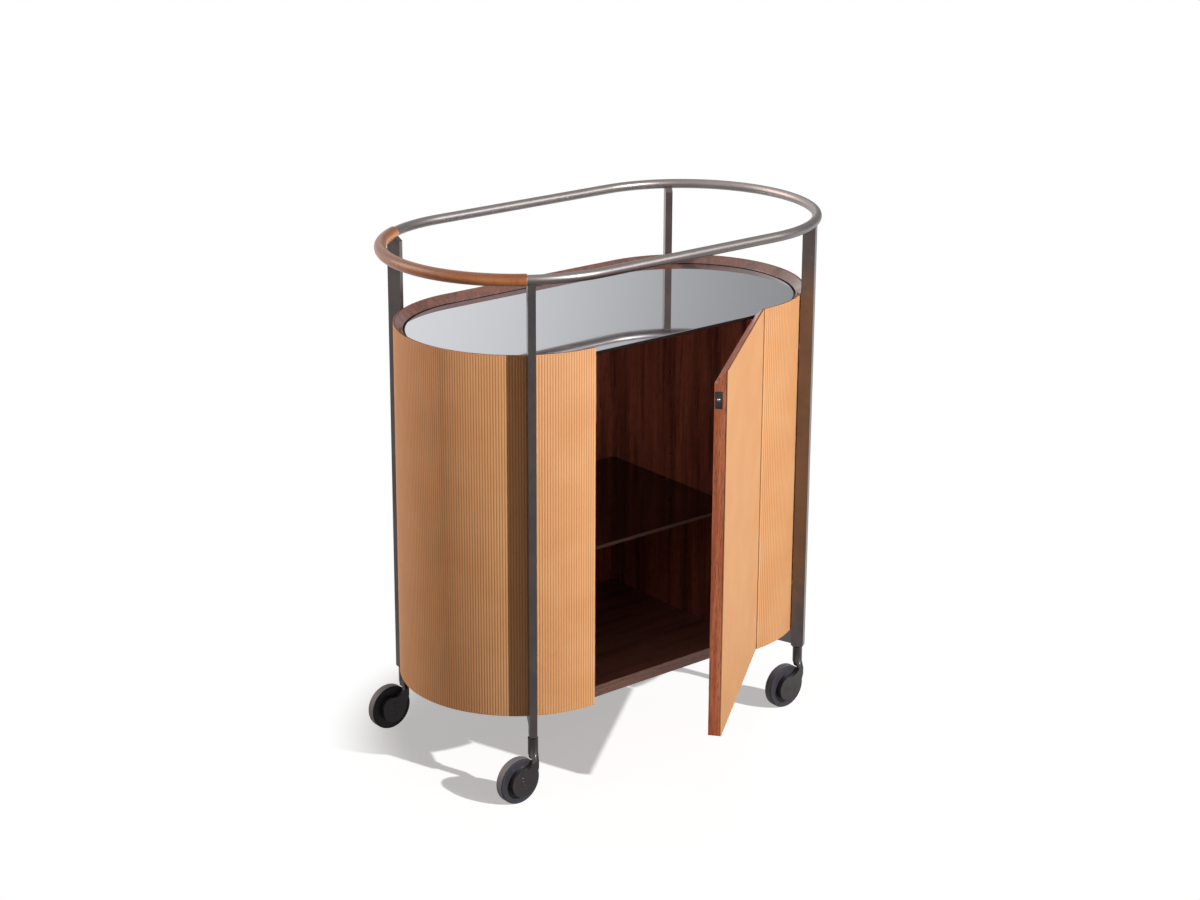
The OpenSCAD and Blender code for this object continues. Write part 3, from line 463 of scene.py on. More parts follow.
# painted shade: a near-black rubber for the tyre's rounded arrises
tyre_arris_painted_shade = speckled("rubber_tyre_arris_painted_shade", "#0b0a0c", "#100f11", {"IOR": 1.52}, 1.0, 0.7, 0.25)
tyre_side = speckled("rubber_tyre_shoulder", "#2e2d35", "#38373f", {"IOR": 1.52}, 1.0, 0.6, 0.25)
tyre_tread = speckled("rubber_tyre_worn_tread", "#6b6a70", "#7b7a80", {"IOR": 1.52}, 1.0, 0.62,
                      0.3)
pad_clear = speckled("soft_silicone_pad", "#2f2f31", "#39393b", {"IOR": 1.41}, 1.0, 0.55, 0.1)
plate_black = speckled("blackened_steel_plate", "#3a393a", "#6d6b6c", {"Metallic": 1.0}, 1.0,
                       0.4, 0.3)
zinc = speckled("zinc_plated_steel", "#b4b5b6", "#c4c3bd", {"Metallic": 1.0}, 1.0, 0.3, 0.08)
polished = speckled("polished_steel_ball", "#9a9b9d", "#a8a8a8", {"Metallic": 1.0}, 0.8, 0.12,
                    0.02)
beech = speckled("raw_beech_dowel", "#c9a579", "#d6b68c", {"IOR": 1.5}, 1.2, 0.62, 0.2)
thread_tan = speckled("waxed_linen_thread", "#c79a6a", "#d8ae80", {"IOR": 1.5}, 0.8, 0.6, 0.3)
print(len(bpy.data.materials), "materials so far")

# %% [markdown]
# ## Eased edges
#
# Light catches on the small round of a real edge. A copy of a node's mesh is merged, its flat
# faces are joined, and its long sharp edges get a narrow bevel; short edges, such as those of
# screw holes, are left. Weighted normals keep the broad faces flat. The copy replaces its node,
# and rides on the same body.

# %% Copies with eased edges
def keep(piece, node):
    """Puts a finished piece on the body of the node it stands for, and hides that node."""
    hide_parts(node)
    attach(piece, body_of[node])
    return piece


def baked(piece):
    """Turns a piece with modifiers into a plain mesh and clears the modifiers."""
    graph = bpy.context.evaluated_depsgraph_get()
    made = bpy.data.meshes.new_from_object(piece.evaluated_get(graph),
                                           preserve_all_data_layers=True, depsgraph=graph)
    piece.modifiers.clear()
    piece.data = made
    return piece


def shade(mesh, sharp):
    """Shades a mesh smooth up to its sharp edges, from an angle in degrees."""
    mesh.polygons.foreach_set("use_smooth", [True] * len(mesh.polygons))
    mesh.set_sharp_from_angle(angle=math.radians(sharp))


def eased(node, name, width, material, shortest=2.0):
    """A merged copy of a node with its sharp edges rounded, width and shortest in millimetres."""
    shape = bmesh.new()
    shape.from_mesh(nodes[node].data)
    bmesh.ops.remove_doubles(shape, verts=shape.verts, dist=2e-6)
    bmesh.ops.dissolve_limit(shape, angle_limit=math.radians(0.3), verts=shape.verts,
                             edges=shape.edges)
    weight = shape.edges.layers.float.new("bevel_weight_edge")
    for edge in shape.edges:
        if len(edge.link_faces) == 2 and edge.calc_face_angle(0) > math.radians(28):
            edge[weight] = float(edge.calc_length() > shortest * MM)
    mesh = bpy.data.meshes.new(name)
    shape.to_mesh(mesh)
    shape.free()
    mesh.materials.clear()
    mesh.materials.append(material)
    shade(mesh, 32)
    piece = in_scene(name, mesh)
    bevel = piece.modifiers.new("ease", "BEVEL")
    bevel.limit_method, bevel.width, bevel.segments = "WEIGHT", width * MM, 2
    bevel.use_clamp_overlap, bevel.loop_slide = True, False
    piece.modifiers.new("flat", "WEIGHTED_NORMAL").keep_sharp = True
    baked(piece)
    return keep(piece, node)


def wear(piece, where, *materials):
    """Adds finishes to a piece, and gives each face the number of the one that it wears."""
    for material in materials:
        piece.data.materials.append(material)
    for face in piece.data.polygons:
        face.material_index = int(where(face))


CORNERS = ("front_left", "front_right", "rear_left", "rear_right")
for corner in CORNERS:
    eased("post_" + corner, "upright_" + corner, 0.9, bronze_upright)
    eased("bracket_" + corner, "support_" + corner, 0.6, bronze_bar)

# %% [markdown]
# ## Wooden pieces
#
# The wooden core of the walls shows as the sloped rim round the glass and as the edges beside
# the door. The upright faces below the slope, and the rebate in which the glass lies, get a dark
# walnut as painted shade. The front of the bottom board gets a paler walnut as painted light.
# Veneered panels keep crisp edges, so they are eased by only half a millimetre.

# %% Wood
WOODEN = {
    "left_shell": ("left_wall_core", 0.6, walnut_rim),
    "right_shell": ("right_wall_core", 0.6, walnut_rim),
    "rear_wall": ("rear_wall_core", 0.6, walnut_rim),
    "door_panel": ("door_core", 0.7, walnut_edge),
    "floor_panel": ("bottom_board", 0.8, walnut_lying),
    "left_partition": ("left_upright_board", 0.5, walnut_upright),
    "right_partition": ("right_upright_board", 0.5, walnut_upright),
    "back_panel": ("back_board", 0.5, walnut_upright),
    "glass_ledges": ("ledges_under_glass", 0.5, walnut_upright),
}
REBATE_R = 187 * MM  # walls that face inwards within this radius get the dark walnut as painted shade


def in_rebate(face):
    """True for an upright face of the walls that looks inwards, to the glass or the rim."""
    middle = Vector((max(-HALF, min(HALF, face.center.x)), 0, face.center.z))
    out = face.center - middle
    return abs(face.normal.z) < 0.5 and out.length < REBATE_R and out.dot(face.normal) < 0


for node, (name, width, material) in WOODEN.items():
    piece = eased(node, name, width, material, shortest=3.0)
    if material is walnut_rim:
        # painted shade: the upright inner faces near the glass wear the dark walnut
        wear(piece, in_rebate, painted_shade_walnut)
    if node == "floor_panel":
        # painted light: the bottom board's faces that look to the front wear the paler walnut
        wear(piece, lambda face: face.normal.y < -0.6, walnut_front_painted_light)
    print(name, len(piece.data.polygons), "faces")

# %% [markdown]
# ## Glass pieces
#
# The top's faces are mirror glass and its rim is ground, so the faces that look sideways get
# the darker edge material. The bevel between them stays bright, which is the thin pale line
# that shows along the front of the glass.

# %% Glass top and shelf
top = eased("glass_top", "sunk_glass_top", 0.7, mirror_glass)
wear(top, lambda face: abs(face.normal.z) < 0.3, glass_edge)
shelf = eased("glass_shelf", "glass_shelf_board", 0.6, shelf_glass, shortest=0.3)
# painted highlight: the shelf's upright edge faces wear the pale edge colour
wear(shelf, lambda face: abs(face.normal.z) < 0.5 and face.area > 1e-7, shelf_edge_painted_highlight)
print("glass faces:", len(top.data.polygons), len(shelf.data.polygons))

# %% [markdown]
# ## Light through the grey glass
#
# Mirror glass lets a little light through, which is why the compartment below it is not quite
# dark. The rendered top is closed, so a weak wide lamp from above stands in for that light. It
# shines on the boards inside only, and the top is taken out of what can shade it. The shelf
# still does, so the lower compartment stays darker.

# %% The weak lamp inside
inside = sun("light_through_the_top", (-0.25, -0.5, 0.83), 0.9, 70)
boards, shades = bpy.data.collections.new("boards_inside"), bpy.data.collections.new("no_shade")
for name in ("left_upright_board", "right_upright_board", "back_board", "bottom_board"):
    boards.objects.link(bpy.data.objects[name])
shades.objects.link(top)
shades.collection_objects[0].light_linking.link_state = "EXCLUDE"
inside.light_linking.receiver_collection = boards
inside.light_linking.blocker_collection = shades

# %% [markdown]
# ## Casters
#
# Each caster has one wheel beside a cast housing: a stem that turns in the upright, a neck and
# a round cover over the hub. The wheel is a moulded disc with a softer tyre round it. The
# tyre's tread is rubbed to a lighter grey, and its rounded arrises are painted near-black as
# shade.

# %% Casters
axles = {}
for corner in CORNERS:
    eased("caster_housing_" + corner, "housing_" + corner, 0.7, housing_black, shortest=1.2)
    eased("wheel_" + corner, "wheel_disc_" + corner, 0.5, nylon_grey)
    tyre = eased("tyre_" + corner, "tyre_ring_" + corner, 1.0, tyre_arris_painted_shade)
    points = numpy.array([v.co for v in tyre.data.vertices])
    axle = Vector(numpy.linalg.svd(points - points.mean(0), full_matrices=False)[2][2])
    axles[corner] = axle
    # the rounded arrises between tread and shoulder keep the near-black rubber as painted shade
    wear(tyre, lambda face: 1 if abs(face.normal.dot(axle)) < 0.35 else
         2 if abs(face.normal.dot(axle)) > 0.93 else 0, tyre_tread, tyre_side)
print("caster pieces:", 3 * len(CORNERS))

# %% [markdown]
# ## Running a geometry tree
#
# Ribs, bars, stitches, screws and rings are made by Geometry Nodes. One function makes an
# empty tree with named sizes, and one runs a tree on a mesh: it sets each size by its socket's
# identifier, evaluates the object once, and keeps the result as a plain mesh.

# %% Helpers for geometry trees
def new_tree(name, sizes):
    """An empty geometry tree with one named input for each size; returns it with its ends."""
    tree = bpy.data.node_groups.new(name, "GeometryNodeTree")
    for way in ("INPUT", "OUTPUT"):
        tree.interface.new_socket(name="Geometry", in_out=way, socket_type="NodeSocketGeometry")
    for size, value in sizes.items():
        kind = "NodeSocketInt" if isinstance(value, int) else "NodeSocketFloat"
        tree.interface.new_socket(name=size, in_out="INPUT", socket_type=kind)
    return tree, add(tree, "NodeGroupInput").outputs, add(tree, "NodeGroupOutput").inputs


def end_tree(tree, geometry, material, result):
    """Ends a tree: copies become real, and all of it wears one finish."""
    real = add(tree, "RealizeInstances", {0: geometry})
    worn = add(tree, "SetMaterial", {"Geometry": real, "Material": material})
    tree.links.new(worn.outputs[0], result[0])


def on_points(tree, sizes, shape):
    """Sets a shape on each start point, with its Z along the point's stored direction."""
    aim = add(tree, "InputNamedAttribute", {"Name": "into"}, data_type="FLOAT_VECTOR")
    facing = add(tree, "FunctionNodeAlignRotationToVector", {"Vector": aim}, axis="Z")
    return add(tree, "InstanceOnPoints", {"Points": sizes["Geometry"],
        "Instance": shape, "Rotation": facing})


def run_tree(name, tree, start, sizes):
    """Runs a tree on a start mesh and returns the result as a plain mesh object."""
    piece = in_scene(name, start)
    modifier = piece.modifiers.new(name, "NODES")
    modifier.node_group = tree
    for item in tree.interface.items_tree:
        if item.in_out == "INPUT" and item.name in sizes:
            modifier[item.identifier] = sizes[item.name]
    return baked(piece)


def path_mesh(name, points, closed=False):
    """A chain of edges through points."""
    links = [(i, i + 1) for i in range(len(points) - 1)]
    mesh = bpy.data.meshes.new(name)
    mesh.from_pydata([tuple(p) for p in points], links + [(len(points) - 1, 0)] * closed, [])
    return mesh


def point_mesh(name, places):
    """Loose points with a stored direction, from (place, direction) pairs."""
    mesh = bpy.data.meshes.new(name)
    mesh.from_pydata([tuple(p) for p, _ in places], [], [])
    into = mesh.attributes.new("into", "FLOAT_VECTOR", "POINT")
    into.data.foreach_set("vector", [c for _, d in places for c in d])
    return mesh


def facing_out(piece, sharp):
    """Turns a closed piece's faces outwards and shades it smooth up to an angle."""
    shape = bmesh.new()
    shape.from_mesh(piece.data)
    bmesh.ops.recalc_face_normals(shape, faces=shape.faces)
    shape.to_mesh(piece.data)
    shape.free()
    shade(piece.data, sharp)
    return piece


print("geometry trees so far:", len(bpy.data.node_groups))

# %% [markdown]
# ## Leather pressed into ribs
#
# A long strip of leather is pressed into fine upright ribs, about 4.4 mm apart, before it is
# glued round the walls. Each rib is a low round and each groove a sharp crease, as in a row of
# arches. The tree follows a path in plan. It cuts the path into whole ribs of eight steps and
# nine plain steps at each end, sweeps the leather's section along it, and then pushes the skin
# inwards by the groove's depth. At its ends the leather is turned in. The crests stay where the
# solid's face is, so the skin never stands outside it.

# %% The rib tree
RIB = {"Rib pitch": 4.4 * MM, "Rib depth": 0.4 * MM, "Leather": LEATHER, "Foot": FOOT,
       "Rim": RIM, "Turned edge": 1.2 * MM}
STEPS, PLAIN = 8, 9  # steps of the path in each rib, and plain steps at each end
ribs, sizes, result = new_tree("pressed_ribs", RIB)
line = add(ribs, "MeshToCurve", {0: sizes["Geometry"]})
known = {size: sizes[size] for size in RIB}
known["whole"] = add(ribs, "CurveLength", {0: line})
known["index"] = add(ribs, "InputIndex")

# %% The groove's depth along the path, one sum to a line
for name, operation, *terms in (
        ("pitches", "DIVIDE", "whole", "Rib pitch"),
        ("ribbed", "SUBTRACT", "pitches", 2 * PLAIN / STEPS),
        ("count", "ROUND", "ribbed"),
        ("steps", "MULTIPLY_ADD", "count", STEPS, 2 * PLAIN),
        ("points", "ADD", "steps", 1),
        ("turn", "MULTIPLY_ADD", "index", math.pi / STEPS, -math.pi * PLAIN / STEPS),
        ("wave", "SINE", "turn"),
        ("arch", "ABSOLUTE", "wave"),
        ("groove", "SUBTRACT", 1, "arch"),
        ("from end", "SUBTRACT", "steps", "index"),
        ("nearest", "MINIMUM", "index", "from end"),
        ("inside", "GREATER_THAN", "nearest", PLAIN - 0.5),
        ("grooves", "MULTIPLY", "groove", "inside"),
        ("sunk", "MULTIPLY", "grooves", "Rib depth"),
        ("step", "DIVIDE", "whole", "steps"),
        ("reach", "MULTIPLY", "nearest", "step"),
        ("short", "SUBTRACT", "Turned edge", "reach"),
        ("rest", "MAXIMUM", "short", 0),
        ("radius squared", "MULTIPLY", "Turned edge", "Turned edge"),
        ("rest squared", "MULTIPLY", "rest", "rest"),
        ("under", "SUBTRACT", "radius squared", "rest squared"),
        ("height", "SQRT", "under"),
        ("turned", "SUBTRACT", "Turned edge", "height"),
        ("sink", "ADD", "sunk", "turned"),
        ("foot down", "MULTIPLY", "Foot", -1),
        ("rim down", "MULTIPLY", "Rim", -1),
        ("inwards", "MULTIPLY", "Leather", -1)):
    known[name] = add(ribs, MATH, {i: known.get(term, term) for i, term in enumerate(terms)},
        operation=operation)
even = add(ribs, "ResampleCurve", {"Curve": line, "Count": known["points"]}, mode="COUNT")
path = add(ribs, "SetCurveNormal", {"Curve": even}, mode="Z_UP")
outward = add(ribs, "InputNormal")
for name, value, kind in (("groove", known["grooves"], "FLOAT"), ("sink", known["sink"], "FLOAT"),
                          ("outward", outward, "FLOAT_VECTOR")):
    path = add(ribs, "StoreNamedAttribute", {"Geometry": path, "Value": value,
        "Name": name}, data_type=kind, domain="POINT")

# %% The leather's section, and the sweep
foot, rim, inner = known["foot down"], known["rim down"], known["inwards"]
corners = [add(ribs, "ShaderNodeCombineXYZ", place) for place in (
    {1: rim}, {1: foot}, {0: inner, 1: foot}, {0: inner, 1: rim})]
section = add(ribs, "CurvePrimitiveQuadrilateral",
    {f"Point {i + 1}": corner for i, corner in enumerate(corners)}, mode="POINTS")
soft = add(ribs, "FilletCurve", {"Curve": section, "Count": 2, "Radius": 0.5 * MM}, mode="POLY")
where = add(ribs, "InputPosition")
across = add(ribs, "ShaderNodeSeparateXYZ", {0: where})
for name, share, operation in (("skin", 0.3, "GREATER_THAN"), ("cut_edge", 0.1, "LESS_THAN")):
    limit = add(ribs, MATH, {0: inner, 1: share}, operation="MULTIPLY")
    marked = add(ribs, MATH, {0: across, 1: limit}, operation=operation)
    soft = add(ribs, "StoreNamedAttribute", {"Geometry": soft, "Value": marked,
        "Name": name}, data_type="FLOAT", domain="POINT")
swept = add(ribs, "CurveToMesh", {"Curve": path, "Profile Curve": soft, "Fill Caps": True})
read = {name: add(ribs, "InputNamedAttribute", {"Name": name}, data_type=kind)
        for name, kind in (("sink", "FLOAT"), ("skin", "FLOAT"), ("outward", "FLOAT_VECTOR"))}
pushed = add(ribs, MATH, {0: read["sink"], 1: read["skin"]}, operation="MULTIPLY")
away = add(ribs, MATH, {0: pushed, 1: -1.0}, operation="MULTIPLY")
push = add(ribs, VECTOR, {0: read["outward"], "Scale": away}, operation="SCALE")
moved = add(ribs, "SetPosition", {"Geometry": swept, "Offset": push})
end_tree(ribs, moved, ribbed_hide, result)
print("rib tree has", len(ribs.nodes), "nodes")

# %% [markdown]
# The paths run counter-clockwise seen from above, so that their right-hand side is the
# outside. The walls' paths turn round the ends; the door's is straight, and is turned about
# the hinge to where the door stands.

# %% Four leather panels
def round_path(centre_x, start, turns, radius=SKIN_R, z=0.0, count=240):
    """Points on an arc about one end of the plan."""
    return [Vector((centre_x + radius * math.cos(start + turns * i / count),
                    radius * math.sin(start + turns * i / count), z)) for i in range(count + 1)]


PANELS = {
    "left_leather": round_path(-HALF, math.pi / 2, math.pi) + [Vector((LEFT_EDGE, -SKIN_R, 0))],
    "right_leather": [Vector((RIGHT_EDGE, -SKIN_R, 0))] + round_path(HALF, -math.pi / 2, math.pi),
    "rear_leather": [Vector((HALF, SKIN_R, 0)), Vector((-HALF, SKIN_R, 0))],
    "door_leather": [door_turn((DOOR_LEFT, -SKIN_R, 0)), door_turn((DOOR_RIGHT, -SKIN_R, 0))],
}
for node, path in PANELS.items():
    piece = run_tree("ribbed_" + node, ribs, path_mesh(node, path), RIB)
    keep(facing_out(piece, 38), node)
    print(piece.name, len(piece.data.vertices), "points,", len(piece.data.polygons), "faces")

# %% [markdown]
# ## Round bar and leather hand grip
#
# Both are one round section carried along the same oval. The bar is closed; the grip is a tube
# of leather sewn round its left end, whose own ends are rolled over the metal. The tree sweeps
# a circle along a path and, over the last millimetres, shrinks it along a quarter circle. The
# seam lies below, on the inner side, where the hand doesn't feel it.

# %% The bar tree
def bar_tree(name, material):
    """A tree that sweeps a circle along a path and rolls its open ends."""
    tree, sizes, result = new_tree(name, {"Bar radius": 0.0, "Rolled end": 0.0})
    line = add(tree, "MeshToCurve", {0: sizes["Geometry"]})
    flat = add(tree, "SetCurveNormal", {"Curve": line}, mode="Z_UP")
    known = {size: sizes[size] for size in ("Bar radius", "Rolled end")}
    known["length"] = add(tree, "SplineLength")
    known["along"] = add(tree, "SplineParameter").outputs["Length"]
    for value, operation, *terms in (
            ("left", "SUBTRACT", "length", "along"),
            ("near", "MINIMUM", "left", "along"),
            ("part", "DIVIDE", "near", "Rolled end"),
            ("within", "MINIMUM", "part", 1),
            ("gone", "SUBTRACT", 1, "within"),
            ("square", "MULTIPLY", "gone", "gone"),
            ("other", "SUBTRACT", 1, "square"),
            ("bow", "SQRT", "other"),
            ("drop", "SUBTRACT", 1, "bow"),
            ("share", "DIVIDE", "Rolled end", "Bar radius"),
            ("less", "MULTIPLY", "drop", "share"),
            ("scale", "SUBTRACT", 1, "less")):
        known[value] = add(tree, MATH, {i: known.get(term, term) for i, term in enumerate(terms)},
            operation=operation)
    ring = add(tree, "CurvePrimitiveCircle", {"Radius": sizes["Bar radius"],
        "Resolution": 48}, mode="RADIUS")
    swept = add(tree, "CurveToMesh", {"Curve": flat, "Profile Curve": ring,
        "Scale": known["scale"], "Fill Caps": True})
    end_tree(tree, swept, material, result)
    return tree


# %% The bar
oval = round_path(HALF, -math.pi / 2, math.pi, RAIL_R, RAIL_Z, 96) + round_path(
    -HALF, math.pi / 2, math.pi, RAIL_R, RAIL_Z, 96)
bar = run_tree("oval_bar", bar_tree("round_bar", bronze_bar), path_mesh("oval", oval, True),
               {"Bar radius": BAR_R, "Rolled end": 1e-5})  # closed, so nothing to roll
keep(facing_out(bar, 40), "rail_hoop")
print("bar:", len(bar.data.polygons), "faces")

# %% The grip, cut out round the rear upright
GRIP_FRONT = POST_ANGLE - math.asin(6.3 * MM / RAIL_R)       # just short of the front upright
GRIP_REAR = POST_ANGLE + math.asin(6.5 * MM / RAIL_R)        # just past the rear upright
start, sweep = math.pi - GRIP_REAR, GRIP_REAR + GRIP_FRONT
ends = [d * MM / RAIL_R for d in (0, 0.15, 0.4, 0.8, 1.3, 1.8, 2.4)]
stops = ends + [ends[-1] + (sweep - 2 * ends[-1]) * i / 120 for i in range(1, 120)] + [
    sweep - d for d in reversed(ends)]
arc = [Vector((-HALF + RAIL_R * math.cos(start + s), RAIL_R * math.sin(start + s), RAIL_Z))
       for s in stops]
grip = run_tree("leather_hand_grip", bar_tree("rolled_leather", grip_hide),
                path_mesh("grip", arc), {"Bar radius": GRIP_R, "Rolled end": 1.6 * MM})
facing_out(grip, 40)
block = bmesh.new()
turned = Matrix.Translation((-HALF, 0, 0)) @ Matrix.Rotation(math.pi - POST_ANGLE, 4, "Z")
placed = Matrix.Translation((208.75 * MM, 0, 800 * MM))          # the upright's top end
upright = Matrix.Diagonal((21.7 * MM, 12.2 * MM, 90.2 * MM, 1))  # its size and a gap
bmesh.ops.create_cube(block, size=1, matrix=turned @ placed @ upright)
cutter_mesh = bpy.data.meshes.new("notch")
block.to_mesh(cutter_mesh)
block.free()
cutter = in_scene("notch", cutter_mesh)
notch = grip.modifiers.new("notch", "BOOLEAN")
notch.operation, notch.object, notch.solver = "DIFFERENCE", cutter, "EXACT"
baked(grip)
bpy.data.objects.remove(cutter)
shade(grip.data, 40)
keep(grip, "leather_grip")
print("grip:", len(grip.data.polygons), "faces")

# %% [markdown]
# ## Stitches
#
# The grip's two edges meet in a butt seam, closed by slanted stitches of waxed linen thread,
# 5 mm apart. One short bent thread is made once and set on every point of the seam.

# %% The stitch tree
STITCH = {"Stitch spacing": 5.0 * MM, "Thread radius": 0.35 * MM}
stitching, sizes, result = new_tree("seam_stitches", STITCH)
seam = add(stitching, "MeshToCurve", {0: sizes["Geometry"]})
spots = add(stitching, "CurveToPoints", {"Curve": seam,
    "Length": sizes["Stitch spacing"]}, mode="LENGTH")
bent = add(stitching, "CurveQuadraticBezier", {"Resolution": 5,
    "Start": (-1.3 * MM, -0.9 * MM, -0.35 * MM), "Middle": (0, 0, 0.55 * MM),
    "End": (1.3 * MM, 0.9 * MM, -0.35 * MM)})
round_thread = add(stitching, "CurvePrimitiveCircle",
    {"Radius": sizes["Thread radius"], "Resolution": 6}, mode="RADIUS")
thread = add(stitching, "CurveToMesh", {"Curve": bent, "Profile Curve": round_thread,
    "Fill Caps": True})
sewn = add(stitching, "InstanceOnPoints", {"Points": spots.outputs["Points"],
    "Instance": thread, "Rotation": spots.outputs["Rotation"]})
end_tree(stitching, sewn, thread_tan, result)

# %% Stitches under the grip
LOW = math.radians(55)  # how far below level the seam lies, inside
seam_r, seam_z = RAIL_R - GRIP_R * math.cos(LOW), RAIL_Z - GRIP_R * math.sin(LOW)
seam_line = [Vector((-HALF + seam_r * math.cos(start + s), seam_r * math.sin(start + s), seam_z))
             for s in (0.06 + (sweep - 0.12) * i / 100 for i in range(101))]
stitches = run_tree("grip_stitches", stitching, path_mesh("seam", seam_line), STITCH)
keep(facing_out(stitches, 50), "leather_grip")
print("stitches:", len(stitches.data.polygons), "faces")

# %% [markdown]
# ## Screws
#
# Every screw here is the same idea in another size: a low round head with a hexagonal socket
# and a plain shank. The tree builds one screw and sets it on points that carry the direction
# in which its shank goes.

# %% The screw tree
SCREW = {"Head radius": 0.0, "Head height": 0.0, "Shank radius": 0.0, "Shank length": 0.0}
screws, sizes, result = new_tree("socket_screws", SCREW)
head = add(screws, "MeshCylinder", {"Radius": sizes["Head radius"],
    "Depth": sizes["Head height"], "Vertices": 28})
key_r = add(screws, MATH, {0: sizes["Head radius"], 1: 0.48}, operation="MULTIPLY")
socket = add(screws, "MeshCylinder", {"Radius": key_r, "Depth": sizes["Head height"],
    "Vertices": 6})
half_head = add(screws, MATH, {0: sizes["Head height"], 1: -0.5}, operation="MULTIPLY")
lift = add(screws, "ShaderNodeCombineXYZ", {2: half_head})
sunk_key = add(screws, "Transform", {"Geometry": socket, "Translation": lift})
recessed = add(screws, "MeshBoolean", {"Mesh 1": head, "Mesh 2": sunk_key},
    operation="DIFFERENCE", solver="EXACT")
shank = add(screws, "MeshCylinder", {"Radius": sizes["Shank radius"],
    "Depth": sizes["Shank length"], "Vertices": 16})
both_z = add(screws, MATH, {0: sizes["Head height"], 1: sizes["Shank length"]}, operation="ADD")
mid_z = add(screws, MATH, {0: both_z, 1: 0.499}, operation="MULTIPLY")  # overlaps the head
below = add(screws, "ShaderNodeCombineXYZ", {2: mid_z})
shank_at = add(screws, "Transform", {"Geometry": shank, "Translation": below})
whole_screw = add(screws, "JoinGeometry")
for part in (shank_at, recessed):
    screws.links.new(part.outputs[0], whole_screw.inputs[0])
end_tree(screws, on_points(screws, sizes, whole_screw), zinc, result)


def screw_set(name, node, places, head_r, head_h, shank_r, shank_l):
    """Screws of one size at (middle of head, direction of shank) places."""
    piece = run_tree(name, screws, point_mesh(name, places), {
        "Head radius": head_r * MM, "Head height": head_h * MM, "Shank radius": shank_r * MM,
        "Shank length": shank_l * MM})
    keep(facing_out(piece, 35), node)
    print(name, len(places), "screws,", len(piece.data.polygons), "faces")


# %% Screws under the supports, through the walls and in the hinge
def by_upright(corner, radius, offset, z):
    """A point beside an upright: its distance from the end's centre and its sideways offset."""
    x, y = (1 if "right" in corner else -1), (1 if "rear" in corner else -1)
    angle = y * POST_ANGLE if x > 0 else math.pi - y * POST_ANGLE
    out = Vector((math.cos(angle), math.sin(angle), 0))
    return Vector((x * HALF, 0, z)) + out * radius + Vector((-out.y, out.x, 0)) * offset, out


UNDER, LINING = 129, 174.9  # millimetres: under the supports, and the walls' inner radius
LEAF_LOW, LEAF, LEAF_SCREWS = 145, 555, 7  # the hinge's foot and length, and screws in a leaf
LEAF_Y = -186.45 * MM
flange = [(by_upright(c, r * MM, s * MM, (UNDER - 1.25) * MM)[0], (0, 0, 1))
          for c in CORNERS for r, s in ((116, -10), (156, 10))]
screw_set("flange_screws", "bracket_screws", flange, 4, 2.5, 2, 18)
through = [by_upright(c, (LINING - 1.5) * MM, 0, z * MM) for c in CORNERS for z in (220, 640)]
screw_set("upright_screws", "post_screws", through, 4.5, 3, 2.5, 32.1)
leaf_z = [(LEAF_LOW + (i + 0.5) * LEAF / LEAF_SCREWS) * MM for i in range(LEAF_SCREWS)]
in_wall = [((RIGHT_EDGE - 1.0 * MM, LEAF_Y, z), (1, 0, 0)) for z in leaf_z]
screw_set("hinge_screws_in_wall", "hinge_screws_cabinet", in_wall, 2.2, 0.8, 1.2, 12.6)
into_door = Matrix.Rotation(OPEN, 3, "Z") @ Vector((-1, 0, 0))
in_door = [(door_turn((DOOR_RIGHT + 1.0 * MM, LEAF_Y, z)), into_door) for z in leaf_z]
screw_set("hinge_screws_in_door", "hinge_screws_door", in_door, 2.2, 0.8, 1.2, 12.6)

# %% [markdown]
# ## Rings on the hub covers
#
# The flat cover over each hub is turned, which leaves two raised rings. Each is a thin round
# wire, half sunk in the cover. The cover's middle lies on the wheel's axle, as far out as the
# housing reaches.

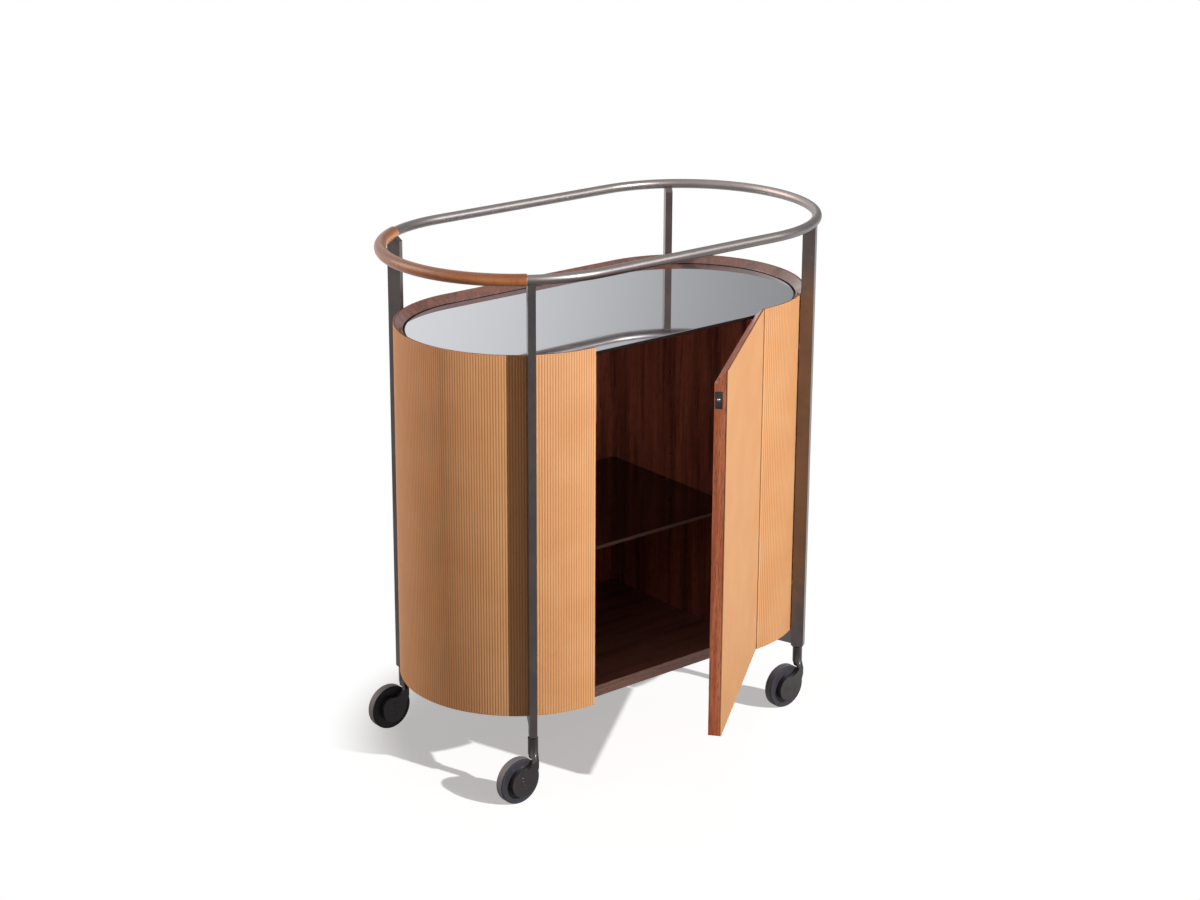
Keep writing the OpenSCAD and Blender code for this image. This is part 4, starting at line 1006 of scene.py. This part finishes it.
# %% The ring tree
RING = {"Outer ring": 10.5 * MM, "Inner ring": 4.5 * MM, "Wire radius": 0.45 * MM}
rings, sizes, result = new_tree("cover_rings", RING)
wire = add(rings, "CurvePrimitiveCircle", {"Radius": sizes["Wire radius"],
    "Resolution": 8}, mode="RADIUS")
pair = add(rings, "JoinGeometry")
for size in ("Outer ring", "Inner ring"):
    loop = add(rings, "CurvePrimitiveCircle", {"Radius": sizes[size],
        "Resolution": 64}, mode="RADIUS")
    rings.links.new(loop.outputs[0], pair.inputs[0])
turned = add(rings, "CurveToMesh", {"Curve": pair, "Profile Curve": wire})
end_tree(rings, on_points(rings, sizes, turned), housing_black, result)

# %% Rings on the four covers
for corner in CORNERS:
    wheel = [v.co for v in nodes["wheel_" + corner].data.vertices]
    hub = sum(wheel, Vector()) / len(wheel)
    housing = nodes["caster_housing_" + corner].data.vertices
    far = max(((v.co - hub).dot(axles[corner]) for v in housing), key=abs)
    spot = point_mesh("cover_rings_" + corner, [(hub + axles[corner] * far, axles[corner])])
    piece = run_tree("cover_rings_" + corner, rings, spot, RING)
    keep(facing_out(piece, 60), "caster_housing_" + corner)
    print(piece.name, len(piece.data.polygons), "faces, hub at", [round(c, 4) for c in hub],
          "cover", round(1000 * far, 1), "mm out")

# %% [markdown]
# ## The nodes that keep their own mesh
#
# Small hardware is right as it is and only needs its finish: the hinge's leaves and pin, the
# catch, the pins, washers, pads and dowels.

# %% Finishes for the remaining nodes
FINISH = {
    "post_washers": bronze_bar, "hinge_leaf_cabinet": bronze_bar, "hinge_leaf_door": bronze_bar,
    "partition_dowels": beech, "glass_pads": pad_clear, "shelf_pins": zinc,
    "strike_plate": plate_black, "catch_body": plate_black, "hinge_pin": zinc,
    "catch_ball": polished, "catch_spring": zinc,
}
FINISH.update({node: zinc for node in nodes if node.startswith(("swivel_pin", "axle"))})
for node, material in FINISH.items():
    for place in nodes[node].material_slots:
        place.material = material
    if not nodes[node].material_slots:
        nodes[node].data.materials.append(material)
left_bare = [n for n, o in nodes.items() if not o.hide_render and n not in FINISH]
print("nodes without a finish:", left_bare)
